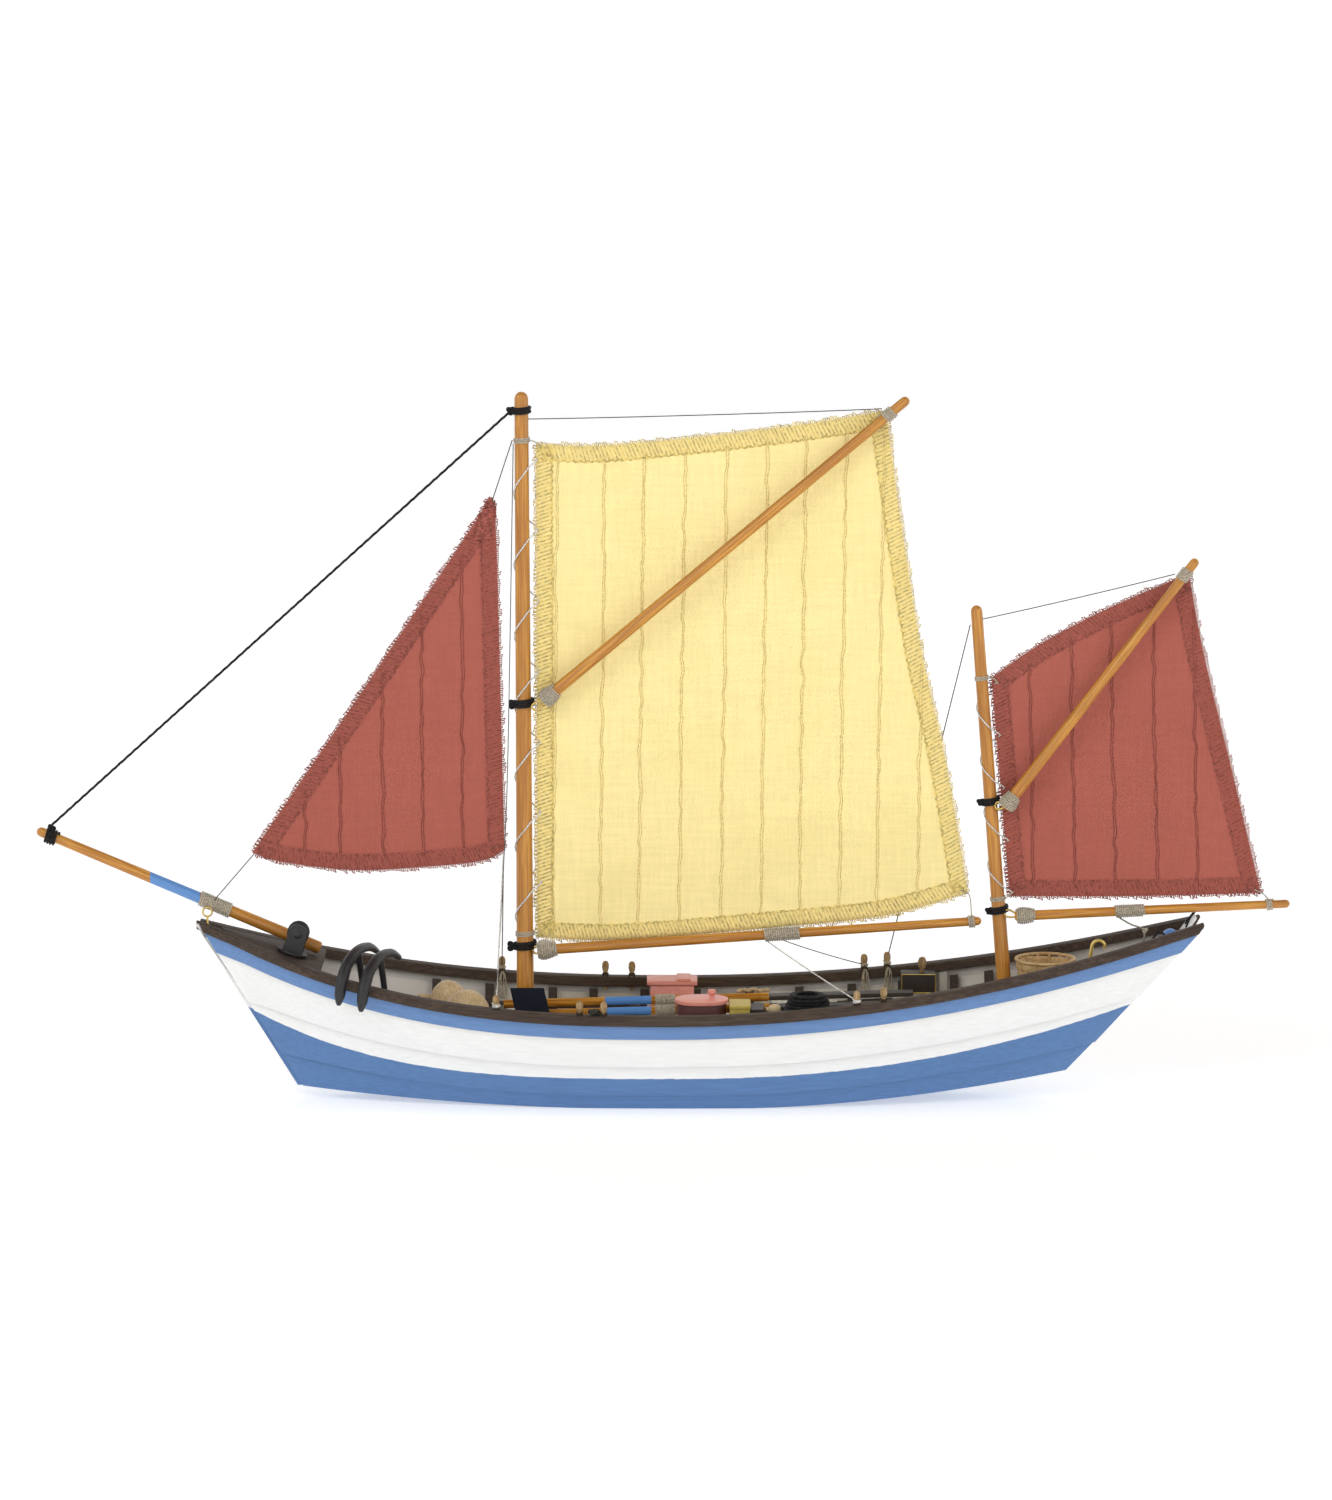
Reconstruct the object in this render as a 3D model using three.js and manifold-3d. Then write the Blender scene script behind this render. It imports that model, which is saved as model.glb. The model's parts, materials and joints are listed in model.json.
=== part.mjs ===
// A sailing dory model with a jib, a sprit mainsail and a sprit mizzen, in millimetres.
// +X runs from the bow to the stern, +Y to starboard and +Z up. The origin is the centre of the
// flat part of the bottom board, on the face that the boat stands on.
import * as THREE from 'three';
import { mergeVertices } from 'three/addons/utils/BufferGeometryUtils.js';
import Module from 'manifold-3d';

const wasm = await Module();
wasm.setup();

// ---------------------------------------------------------------- driving dimensions
const GAP = 0.35;                 // clearance between touching pieces
const BOW = { head: -217, foot: -171 };       // plank ends at the stem, sheer and chine
const STERN = { head: 236, foot: 175 };       // plank ends at the transom
const MIDSHIP_X = -10;            // where the sheer is widest
const HALF_BEAM = 49.7;           // centreline to the outside of the gunwale
const TRANSOM_HALF = 13.5;        // the same at the top of the transom
const STEM_HALF = 2;              // half the thickness of the stem
const SHEER_LOW = 45.3;           // lowest height of the sheer
const SHEER_BOW_RISE = 34.3;
const SHEER_STERN_RISE = 34.7;
const BOTTOM_HALF = 24.5;         // half the width of the bottom board amidships
const FLAT_BOTTOM = { fore: -45, aft: 30 };   // the rocker starts outside these
const PLANK = 1.2;                // strake thickness
const LAP = 2;                    // how far a strake laps over the one below
const LAP_SETOFF = 1.9;           // how far its lower edge stands out
const SEAMS = [0, 0.235, 0.556, 0.86, 1];     // strake edges, from the chine to the sheer
const BOARD = 2.5;                // bottom board thickness
const RAIL = { out: 1.7, lip: 3.2, cap: 1.3, in: 3.4, thin: 0.6 };
const FOREDECK = { from: 0.022, to: 0.123, thick: 1.4 };   // shares of the sheer's length
const FRAME = { width: 3.9, depth: 3.4, top: 0.88 };
const FRAME_X = [-111.6, -87.4, -58.4, -39.6, -16.2, 7.7, 32, 55, 79, 102, 125.6, 141.3];
const STATIONS = 34;              // sections along a strake
const ROUND = 16;                 // sides of a round spar

const MAIN_MAST = { foot: [-69.9, 0, 5.6], top: [-70.8, 0, 321], r: 4, rTop: 3.1 };
const MIZZEN_MAST = { foot: [150, 0, 13.2], top: [132.7, 0, 225], r: 3.4, rTop: 2.6 };
const BOWSPRIT = { foot: [-163, 5.5, 67.4], top: [-290, 0, 122.7], r: 2.9, rTop: 2.2 };
const MAIN_BOOM = { foot: [-62.6, -3.6, 68.4], top: [136.1, -3.6, 81.8], r: 2.4, rTop: 2 };
const MIZZEN_BOOM = { foot: [151.2, -3.2, 83.9], top: [275.2, -3.2, 89.6], r: 2.3, rTop: 1.9 };
const MAIN_SPRIT = { foot: [-61.6, -5.4, 182.2], top: [101.6, -5.4, 318.5], r: 2.6, rTop: 2.2 };
const MIZZEN_SPRIT = { foot: [145.9, -5, 133.6], top: [231, -5, 246.4], r: 2.6, rTop: 2.1 };

// Sail corners and edge points in the XZ plane, luff first.
const SAIL_THICK = 1;
const MAIN_SAIL = [
  [-64.6, 73.6], [-64.2, 297.5], [-35.8, 296.6], [8.9, 300.6], [53.5, 306], [91.8, 312.3],
  [98.3, 266], [108.1, 205.6], [119.7, 153.3], [130.1, 93.8], [91.8, 83.3], [39.8, 77.6],
  [-29.4, 72.2],
];
const MIZZEN_SAIL = [
  [149, 92.4], [140, 192], [160, 206.2], [184, 219.5], [207, 230.2], [228, 239],
  [235.2, 202.4], [248.5, 150.1], [262.5, 93.8], [203.3, 92.2],
];
const JIB = [
  [-192.7, 112.7], [-139, 191.5], [-87.4, 268.6], [-83, 268], [-80.8, 190], [-79.2, 113.6], [-89.8, 108.6],
  [-115.1, 105.9], [-148.5, 104.4], [-181.9, 108.6],
];

// Colours, as seen in plain light.
const BLUE = 0x6f93c6;
const LOWER_BLUE = 0x5a80b8;
const WHITE = 0xf0efeb;
const BROWN = 0x4c4039;
const SPAR_WOOD = 0xc98a45;
const PALE_WOOD = 0xd9b487;
const GREY_PAINT = 0xc9c6bd;
const IRON = 0x1d1d20;
const PINK = 0xd47c74;
const SAIL_YELLOW = 0xf7e5a0;
const SAIL_RED = 0xad6154;

const boat = new THREE.Group();

// ---------------------------------------------------------------- small helpers
function add(name, geometry, color, roughness = 0.6, metalness = 0) {
  const material = new THREE.MeshStandardMaterial({ color, roughness, metalness });
  const mesh = new THREE.Mesh(geometry, material);
  mesh.name = name;
  boat.add(mesh);
  return mesh;
}

// Turns a closed geometry into a manifold-3d solid.
function solid(geometry) {
  const bare = geometry.clone();
  bare.deleteAttribute('normal');
  bare.deleteAttribute('uv');
  const merged = mergeVertices(bare, 1e-4);
  return new wasm.Manifold(new wasm.Mesh({
    numProp: 3,
    vertProperties: new Float32Array(merged.attributes.position.array),
    triVerts: new Uint32Array(merged.index.array),
  }));
}

function toGeometry(body) {
  const mesh = body.getMesh();
  const geometry = new THREE.BufferGeometry();
  geometry.setAttribute('position', new THREE.BufferAttribute(mesh.vertProperties, 3));
  geometry.setIndex(new THREE.BufferAttribute(mesh.triVerts, 1));
  return geometry;
}

// Six times the signed volume, to see which way a closed surface faces.
function signedVolume(points, faces) {
  const [a, b, c] = [new THREE.Vector3(), new THREE.Vector3(), new THREE.Vector3()];
  let sum = 0;
  for (const [i, j, k] of faces) {
    a.fromArray(points[i]);
    b.fromArray(points[j]);
    c.fromArray(points[k]);
    sum += a.dot(b.cross(c));
  }
  return sum;
}

// Triangles of a ring's flat cap, each with its corners in the ring's own order. The ring is
// seen along the axis that its plane faces most.
function capTriangles(ring) {
  const normal = [0, 0, 0];
  ring.forEach((p, i) => {
    const q = ring[(i + 1) % ring.length];
    normal[0] += (p[1] - q[1]) * (p[2] + q[2]);
    normal[1] += (p[2] - q[2]) * (p[0] + q[0]);
    normal[2] += (p[0] - q[0]) * (p[1] + q[1]);
  });
  const facing = [0, 1, 2].sort((i, j) => Math.abs(normal[j]) - Math.abs(normal[i]))[0];
  const [u, v] = [0, 1, 2].filter((k) => k !== facing);
  const outline = ring.map((p) => new THREE.Vector2(p[u], p[v]));
  return THREE.ShapeUtils.triangulateShape(outline, []).map((tri) => tri.sort((i, j) => i - j));
}

// A closed skin over rings that all have the same number of points.
function loft(rings) {
  const count = rings[0].length;
  const points = rings.flat();
  const faces = [];
  for (let i = 0; i + 1 < rings.length; i += 1) {
    for (let j = 0; j < count; j += 1) {
      const a = i * count + j;
      const b = i * count + ((j + 1) % count);
      faces.push([a, b, b + count], [a, b + count, a + count]);
    }
  }
  const last = (rings.length - 1) * count;
  for (const [a, b, c] of capTriangles(rings[0])) faces.push([c, b, a]);
  for (const [a, b, c] of capTriangles(rings.at(-1))) faces.push([a + last, b + last, c + last]);
  if (signedVolume(points, faces) < 0) faces.forEach((face) => face.reverse());
  const geometry = new THREE.BufferGeometry();
  geometry.setAttribute('position', new THREE.Float32BufferAttribute(points.flat(), 3));
  geometry.setIndex(faces.flat());
  return geometry;
}

// A box given by its lowest and highest corners.
function block(low, high) {
  const size = high.map((value, k) => value - low[k]);
  const geometry = new THREE.BoxGeometry(...size);
  return geometry.translate(...low.map((value, k) => value + size[k] / 2));
}

// A round body on the +Z axis from a profile of [radius, height] points.
function turned(profile, sides = ROUND) {
  const points = profile.map(([r, z]) => new THREE.Vector2(r, z));
  return new THREE.LatheGeometry(points, sides).rotateX(Math.PI / 2);
}

// Moves a body made along +Z so that it runs from one point towards another.
function aim(geometry, from, to) {
  const start = new THREE.Vector3(...from);
  const along = new THREE.Vector3(...to).sub(start).normalize();
  const turn = new THREE.Quaternion().setFromUnitVectors(new THREE.Vector3(0, 0, 1), along);
  return geometry.applyQuaternion(turn).translate(...from);
}

// A tapered round spar with a rounded tip.
function spar({ foot, top, r, rTop }) {
  const length = new THREE.Vector3(...foot).distanceTo(new THREE.Vector3(...top));
  const profile = [[0, 0], [r * 0.8, 0], [r, r * 0.3]];
  for (const turn of [0, 0.35, 0.7]) {
    const angle = turn * Math.PI / 2;
    profile.push([rTop * Math.cos(angle), length - rTop + rTop * Math.sin(angle)]);
  }
  profile.push([0, length]);
  return aim(turned(profile), foot, top);
}

// A cord along straight runs between points.
function cordTube(points, diameter) {
  const path = new THREE.CurvePath();
  const corners = points.map((p) => new THREE.Vector3(...p));
  for (let i = 0; i + 1 < corners.length; i += 1) {
    path.add(new THREE.LineCurve3(corners[i], corners[i + 1]));
  }
  const section = new THREE.Shape();
  for (let i = 0; i < 8; i += 1) {
    const angle = (i / 8) * 2 * Math.PI;
    const place = [diameter / 2 * Math.cos(angle), diameter / 2 * Math.sin(angle)];
    if (i === 0) section.moveTo(...place);
    else section.lineTo(...place);
  }
  return new THREE.ExtrudeGeometry(section, { steps: points.length - 1, extrudePath: path });
}

// A flat sheet in the XZ plane, its back face on y = 0.
function sheetPlate(outline, thickness) {
  const shape = new THREE.Shape(outline.map(([x, z]) => new THREE.Vector2(x, z)));
  const geometry = new THREE.ExtrudeGeometry(shape, { depth: thickness, bevelEnabled: false });
  return geometry.rotateX(Math.PI / 2).translate(0, thickness, 0);
}

// ---------------------------------------------------------------- hull form
const lerp = THREE.MathUtils.lerp;
const share = (x, from, to) => THREE.MathUtils.clamp((x - from) / (to - from), 0, 1);

// Half the width outside the gunwale at the sheer.
function halfBeam(x) {
  if (x < MIDSHIP_X) {
    return STEM_HALF + (HALF_BEAM - STEM_HALF) * (1 - share(x, MIDSHIP_X, BOW.head) ** 3.2);
  }
  return lerp(HALF_BEAM, TRANSOM_HALF, share(x, MIDSHIP_X, STERN.head) ** 1.85);
}

function sheerHeight(x) {
  const fore = share(x, -5, -215) ** 2.5;
  const aft = share(x, -5, 235) ** 2.05;
  return SHEER_LOW + SHEER_BOW_RISE * fore + SHEER_STERN_RISE * aft;
}

// Half the width of the bottom board and the height of its underside.
function chineHalf(x) {
  const reach = x < 0 ? BOW.foot : STERN.foot;
  return STEM_HALF + (BOTTOM_HALF - STEM_HALF) * (1 - share(x, 0, reach) ** 2.3);
}

function chineHeight(x) {
  if (x < FLAT_BOTTOM.fore) return 0.004 * (FLAT_BOTTOM.fore - x) ** 1.5;
  if (x > FLAT_BOTTOM.aft) return 0.0045 * (x - FLAT_BOTTOM.aft) ** 1.6;
  return 0;
}

// A point on the inside of the planking. u runs from the bow to the stern, t from the chine
// to the sheer, out is the distance outside that surface and side is -1 port or 1 starboard.
function hullPoint(u, t, out, side) {
  const low = lerp(BOW.foot, STERN.foot, u);
  const high = lerp(BOW.head, STERN.head, u);
  const inside = RAIL.out + GAP + PLANK;
  const bottom = chineHalf(low) + GAP;
  const top = Math.max(halfBeam(high) - inside, STEM_HALF + GAP);
  const rise = sheerHeight(high) - chineHeight(low);
  const bulge = 1.6 * 4 * t * (1 - t) * Math.sin(Math.PI * u);
  const lean = Math.atan2(top - bottom, rise);
  const y = lerp(bottom, top, t) + bulge + out * Math.cos(lean);
  const z = lerp(chineHeight(low), sheerHeight(high), t) - out * Math.sin(lean);
  return [lerp(low, high, t), side * y, Math.max(z, chineHeight(low))];
}

// The same surface met by a plane of constant x, found by halving on u.
function hullAt(x, t, out, side) {
  let [fore, aft] = [0, 1];
  for (let i = 0; i < 30; i += 1) {
    const middle = (fore + aft) / 2;
    if (hullPoint(middle, t, 0, 1)[0] < x) fore = middle;
    else aft = middle;
  }
  const [, y, z] = hullPoint(fore, t, out, side);
  return [x, y, z];
}

// ---------------------------------------------------------------- planking and backbone
function strake(row, side) {
  const rings = [];
  const from = SEAMS[row];
  const to = SEAMS[row + 1];
  for (let i = 0; i <= STATIONS; i += 1) {
    const u = i / STATIONS;
    const height = sheerHeight(lerp(BOW.head, STERN.head, u));
    const low = row === 0 ? 0 : from - LAP / height;
    const stand = row === 0 ? 0 : LAP_SETOFF;
    rings.push([
      hullPoint(u, low, stand, side), hullPoint(u, low, stand + PLANK, side),
      hullPoint(u, to, PLANK, side), hullPoint(u, to, 0, side),
    ]);
  }
  return loft(rings);
}

const SIDES = [['port', -1], ['starboard', 1]];
for (const [word, side] of SIDES) {
  for (let row = 0; row < SEAMS.length - 1; row += 1) {
    const colours = [LOWER_BLUE, LOWER_BLUE, WHITE, BLUE];
    add(`plank_${word}_${row + 1}`, strake(row, side), colours[row], 0.45);
  }
}

// The bottom board lies between the two lowest strakes.
function bottomBoard() {
  const rings = [];
  for (let i = 0; i <= STATIONS; i += 1) {
    const x = lerp(BOW.foot + 3, STERN.foot - 3, i / STATIONS);
    const half = chineHalf(x) - 0.2;
    const z = chineHeight(x);
    rings.push([[x, -half, z], [x, half, z], [x, half, z + BOARD], [x, -half, z + BOARD]]);
  }
  return loft(rings);
}
add('bottom_board', bottomBoard(), LOWER_BLUE, 0.5);

// The gunwale is a channel that caps the top edge of the planking.
function gunwale(side) {
  const rings = [];
  for (let i = 0; i <= STATIONS; i += 1) {
    const u = i / STATIONS;
    const [x, y, z] = hullPoint(u, 1, 0, 1);
    const [xLow, yLow, zLow] = hullPoint(u, 1 - RAIL.lip / z, 0, 1);
    const skin = y + PLANK + GAP;
    const skinLow = yLow + PLANK + LAP_SETOFF / 2 + GAP;
    const wall = (value) => Math.max(value - GAP, 0.9);
    const inside = (value) => Math.max(value - GAP - RAIL.in, 0.3);
    const top = z + GAP + RAIL.cap - RAIL.thin * Math.sin(Math.PI * u) ** 2;
    const section = [
      [xLow, skinLow + RAIL.out - 0.4, zLow], [x, skin + RAIL.out, top], [x, inside(y), top],
      [xLow, inside(yLow), zLow], [xLow, wall(yLow), zLow], [x, wall(y), z + GAP],
      [x, skin, z + GAP], [xLow, skinLow, zLow],
    ];
    rings.push(section.map(([px, py, pz]) => [px, side * py, pz]));
  }
  return loft(rings);
}
for (const [word, side] of SIDES) add(`gunwale_${word}`, gunwale(side), BROWN, 0.55);

// The foredeck fills the bow between the gunwales and carries the roller and the bowsprit heel.
function foredeck() {
  const rings = [];
  for (let i = 0; i <= 8; i += 1) {
    const u = lerp(FOREDECK.from, FOREDECK.to, i / 8);
    const [x, y, z] = hullPoint(u, 1, 0, 1);
    const half = y - 2 * GAP - RAIL.in;
    const halfLow = half - 3 * GAP;
    const top = z + GAP + RAIL.cap - RAIL.thin * Math.sin(Math.PI * u) ** 2;
    const low = top - FOREDECK.thick;
    rings.push([[x, -halfLow, low], [x, halfLow, low], [x, half, top], [x, -half, top]]);
  }
  return loft(rings);
}
add('foredeck', foredeck(), BROWN, 0.55);

// The stem stands between the plank ends and shows a thin edge in front of them.
function stem() {
  const slope = (BOW.foot - BOW.head) / (sheerHeight(BOW.head) - chineHeight(BOW.foot));
  const foot = chineHeight(BOW.foot);
  const top = sheerHeight(BOW.head) - RAIL.lip - 2.4;
  const edge = (z, shift) => BOW.foot - slope * (z - foot) + shift;
  const shape = [
    [edge(foot, -2.4), foot], [edge(foot, 2.4), foot], [edge(top, 5), top],
    [edge(top, -1.2), top], [edge(top + 4, -1.4), top + 6], [edge(top + 4, -3), top + 6],
  ];
  return sheetPlate(shape, 2 * STEM_HALF).translate(0, -STEM_HALF, 0);
}
add('stem', stem(), WHITE, 0.5);

// The transom is a raked tombstone between the plank ends.
function transom() {
  const heights = [0.06, 0.3, 0.6, 0.8, 0.92];
  return loft([0.982, 0.994].map((u) => [
    ...heights.map((t) => hullPoint(u, t, -GAP - 0.1, 1)),
    ...heights.toReversed().map((t) => hullPoint(u, t, -GAP - 0.1, -1)),
  ]));
}
add('transom', transom(), WHITE, 0.5);

// Frames follow the inside of the planking and cross the bottom board.
function frame(x) {
  const heights = [FRAME.top, 0.7, 0.45, 0.2];
  const ring = (px) => {
    const floor = chineHeight(px) + BOARD + GAP;
    const clip = ([, y, z], extra) => [px, y, Math.max(z, floor + extra)];
    const outer = (t, side) => clip(hullAt(px, t, -GAP, side), 0);
    const inner = (t, side) => clip(hullAt(px, t, -GAP - FRAME.depth, side), FRAME.depth);
    const corner = hullAt(px, (BOARD + GAP) / sheerHeight(px), -GAP - 0.2, 1)[1];
    return [
      ...heights.map((t) => outer(t, 1)), [px, corner, floor], [px, -corner, floor],
      ...heights.toReversed().map((t) => outer(t, -1)),
      ...heights.map((t) => inner(t, -1)),
      ...heights.toReversed().map((t) => inner(t, 1)),
    ];
  };
  return loft([ring(x - FRAME.width / 2), ring(x + FRAME.width / 2)]);
}
FRAME_X.forEach((x, i) => {
  add(`frame_${String(i + 1).padStart(2, '0')}`, frame(x), BROWN, 0.7);
});

// ---------------------------------------------------------------- masts, thwarts and spars
const SPARS = {
  main_mast: MAIN_MAST, mizzen_mast: MIZZEN_MAST, bowsprit: BOWSPRIT,
  main_boom: MAIN_BOOM, mizzen_boom: MIZZEN_BOOM,
  main_sprit: MAIN_SPRIT, mizzen_sprit: MIZZEN_SPRIT,
};
for (const [name, size] of Object.entries(SPARS)) add(name, spar(size), SPAR_WOOD, 0.5);

// A thwart is cut to the inside of the planking, clear of the frames.
function thwart({ from, to, top, thick = 2 }) {
  const clear = -4 * GAP - FRAME.depth;
  const rings = [from, (from + to) / 2, to].map((x) => {
    const reach = (z) => {
      const t = share(z, chineHeight(x), sheerHeight(x));
      return hullAt(x, t, clear, 1)[1];
    };
    const low = top - thick;
    return [[x, -reach(low), low], [x, reach(low), low], [x, reach(low), top], [x, -reach(low), top]];
  });
  return loft(rings);
}

// Where a mast's axis meets a height.
function mastAt({ foot, top }, z) {
  return lerp(foot[0], top[0], (z - foot[2]) / (top[2] - foot[2]));
}

function pierced(plate, mast, top) {
  const x = mastAt(mast, top);
  const hole = new THREE.CylinderGeometry(mast.r + 2 * GAP, mast.r + 2 * GAP, 12, ROUND);
  hole.rotateX(Math.PI / 2).translate(x, 0, top);
  return toGeometry(solid(plate).subtract(solid(hole)));
}

const THWARTS = {
  bow_thwart: { from: -117, to: -94, top: 41 },
  forward_thwart: { from: -79, to: -60.8, top: 36.5, mast: MAIN_MAST },
  middle_thwart: { from: -15, to: 30, top: 37 },
  aft_thwart: { from: 42, to: 72, top: 39 },
  after_thwart: { from: 97, to: 120, top: 43 },
  stern_seat: { from: 143.5, to: 181, top: 33, mast: MIZZEN_MAST },
};
for (const [name, size] of Object.entries(THWARTS)) {
  const plate = thwart(size);
  add(name, size.mast ? pierced(plate, size.mast, size.top) : plate, GREY_PAINT, 0.7);
}

// ---------------------------------------------------------------- sails and standing lines
add('main_sail', sheetPlate(MAIN_SAIL, SAIL_THICK), SAIL_YELLOW, 0.9);
add('mizzen_sail', sheetPlate(MIZZEN_SAIL, SAIL_THICK), SAIL_RED, 0.9);
add('jib', sheetPlate(JIB, SAIL_THICK).translate(0, -SAIL_THICK / 2, 0), SAIL_RED, 0.9);

const FORESTAY = [[-283.5, 0, 124.8], [-75.2, 0, 312.6]];
const MIZZEN_STAY = [[130.2, 0.9, 216], [95.6, 40.2, 56.5]];
add('forestay', cordTube(FORESTAY, 1.2), IRON, 0.8);
add('mizzen_stay', cordTube(MIZZEN_STAY, 0.5), WHITE, 0.8);

// ---------------------------------------------------------------- bow roller
const ROLLER = { x: -172, y: -9, z: 77.3, r: 5, core: 2.6, half: 3.6, bore: 1.3, tilt: 0.3 };

function rollerWheel() {
  const { r, core, half, bore } = ROLLER;
  const profile = [
    [bore, -half], [r, -half], [r, -half + 1.3], [core, -half + 2.3], [core, half - 2.3],
    [r, half - 1.3], [r, half], [bore, half], [bore, -half],
  ];
  return turned(profile, 20).rotateX(Math.PI / 2).translate(ROLLER.x, ROLLER.y, ROLLER.z);
}
add('roller', rollerWheel(), IRON, 0.5, 0.4);

function rollerBracket() {
  const { x, y, z, half, tilt } = ROLLER;
  const cheek = half + GAP;
  const parts = [
    block([-7, -6, -10.2], [7, 6, -8.4]),
    block([-2, -cheek - 1.2, -9], [2, -cheek, 1.8]),
    block([-2, cheek, -9], [2, cheek + 1.2, 1.8]),
    new THREE.CylinderGeometry(1.2, 1.2, 2 * cheek + 1, 16),
  ];
  const whole = toGeometry(parts.map(solid).reduce((sum, part) => sum.add(part)));
  return whole.rotateY(tilt).translate(x, y, z);
}
add('roller_bracket', rollerBracket(), IRON, 0.5, 0.4);

// ---------------------------------------------------------------- anchors over the port gunwale
// Outline of the crescent arm: s runs inboard from the outer tip and z is height.
const ANCHOR_ARM = [
  [0, 51], [2.2, 61], [8, 69.5], [19, 74.2], [31, 73.4], [40, 68],
  [32.5, 70.2], [21, 70.2], [11.5, 66.6], [5.2, 60.5],
];

function anchor(x, y, lift) {
  const across = Math.hypot(16, 37);
  const arm = sheetPlate(ANCHOR_ARM, 2.4).translate(0, -1.2, lift);
  const shank = aim(block([-1.1, -1.1, 0], [1.1, 1.1, 50]), [21, 0, 71 + lift], [33, 0, 20]);
  const body = solid(arm).add(solid(shank));
  return toGeometry(body).rotateZ(Math.atan2(37 / across, 16 / across)).translate(x, y, 0);
}
add('anchor_forward', anchor(-152.3, -42.5, 0), IRON, 0.6, 0.3);
add('anchor_aft', anchor(-142.2, -45.8, -1), IRON, 0.6, 0.3);

// ---------------------------------------------------------------- gear stowed in the boat
function oar({ y, foot, blade, z }) {
  const shaft = turned([[0, 0], [2, 0], [2, blade - foot], [0, blade - foot]], 12);
  shaft.rotateY(Math.PI / 2);
  const flat = block([blade - foot - 3, -4, -0.9], [blade - foot + 66, 4, 0.9]);
  const body = toGeometry(solid(shaft).add(solid(flat)));
  return body.rotateY(-0.028).translate(foot, y, z);
}
add('oar_port', oar({ y: -7, foot: -80, blade: 44, z: 39.2 }), PALE_WOOD, 0.6);
add('oar_starboard', oar({ y: 6.8, foot: -80, blade: 40, z: 41.3 }), PALE_WOOD, 0.6);

// An open box with walls of one thickness.
function tray(low, high, wall) {
  const hollow = block([low[0] + wall, low[1] + wall, low[2] + wall],
    [high[0] - wall, high[1] - wall, high[2] + 1]);
  return toGeometry(solid(block(low, high)).subtract(solid(hollow)));
}

const CHEST = { low: [-13.5, 20, 37.4], high: [6.5, 33, 47], wall: 1.2 };
add('chest', tray(CHEST.low, CHEST.high, CHEST.wall), PINK, 0.5);

function chestLid() {
  const [x0, y0] = CHEST.low;
  const [x1, y1, z] = CHEST.high;
  const lid = block([x0 - 1.5, y0 - 1, z + GAP], [x1 + 1.5, y1 + 1, z + GAP + 2]);
  const batten = block([x0 + 12, y0 - 0.4, z + 2], [x0 + 18.5, y1 + 0.4, z + GAP + 3]);
  return toGeometry(solid(lid).add(solid(batten)));
}
add('chest_lid', chestLid(), PINK, 0.5);

// A plate with round ends, its long side on X.
function stadium(length, width, height) {
  const r = width / 2;
  const shape = new THREE.Shape();
  shape.absarc(length / 2 - r, 0, r, -Math.PI / 2, Math.PI / 2);
  shape.absarc(r - length / 2, 0, r, Math.PI / 2, (3 * Math.PI) / 2);
  const options = { depth: height, bevelEnabled: false, curveSegments: 10 };
  return new THREE.ExtrudeGeometry(shape, options);
}

const KETTLE = { x: 9.7, y: -20, z: 37.4, length: 22, width: 18, height: 10, wall: 1.1 };

function kettle() {
  const { x, y, z, length, width, height, wall } = KETTLE;
  const outside = solid(stadium(length, width, height));
  const inside = stadium(length - 2 * wall, width - 2 * wall, height).translate(0, 0, wall);
  return toGeometry(outside.subtract(solid(inside))).translate(x, y, z);
}
add('kettle', kettle(), 0x6e3030, 0.4);

function kettleLid() {
  const { x, y, z, length, width, height } = KETTLE;
  const plate = solid(stadium(length + 2, width + 2, 1.6));
  const knob = turned([[0, 1], [1.3, 1], [1.1, 3], [2, 4.2], [1.7, 5.6], [0, 6]], 14);
  const whole = toGeometry(plate.add(solid(knob.translate(4.6, 0, 0))));
  return whole.translate(x, y, z + height + GAP);
}
add('kettle_lid', kettleLid(), PINK, 0.4);

const FOGHORN = { low: [101, 20.4, 43.4], high: [117, 30, 52.6], x: 110.8, y: 25, bore: 1.3 };

function foghornBox() {
  const well = new THREE.CylinderGeometry(FOGHORN.bore, FOGHORN.bore, 12, 16);
  well.rotateX(Math.PI / 2).translate(FOGHORN.x, FOGHORN.y, FOGHORN.high[2]);
  return toGeometry(solid(block(FOGHORN.low, FOGHORN.high)).subtract(solid(well)));
}
add('foghorn_box', foghornBox(), 0x37302b, 0.5);

function foghornHandle() {
  const profile = [[0, -4.5], [0.95, -4.5], [0.95, 1], [1.8, 2.6], [2.1, 4.6], [1.4, 6.6], [0, 7.2]];
  return turned(profile, 14).translate(FOGHORN.x, FOGHORN.y, FOGHORN.high[2]);
}
add('foghorn_handle', foghornHandle(), PALE_WOOD, 0.6);

// A scoop: half a cup with a grip.
function bailer(length, width, height) {
  const bowl = new THREE.SphereGeometry(1, 16, 12).scale(length / 2, width / 2, height);
  const hollow = bowl.clone().scale(0.84, 0.84, 0.84).translate(1.5, 0, -0.6);
  const below = block([-30, -30, -40], [30, 30, 0]);
  const grip = turned([[0, 0], [1.1, 0], [1.3, 6], [0, 6.6]], 10).rotateY(-Math.PI / 2);
  grip.translate(1.4 - length / 2, 0, height * 0.35);
  const shell = solid(bowl).subtract(solid(hollow)).subtract(solid(below));
  return toGeometry(shell.add(solid(grip)));
}
add('bailer_near', bailer(21, 16, 11), PALE_WOOD, 0.7).position.set(-96, -14.6, 41.4);
const farBailer = add('bailer_far', bailer(18, 15, 12), PALE_WOOD, 0.7);
farBailer.position.set(-105, 3, 41.4);

const BASKET = { x: 165.4, z: 33.4, height: 31, rFoot: 10, rRim: 14, wall: 1 };

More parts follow.
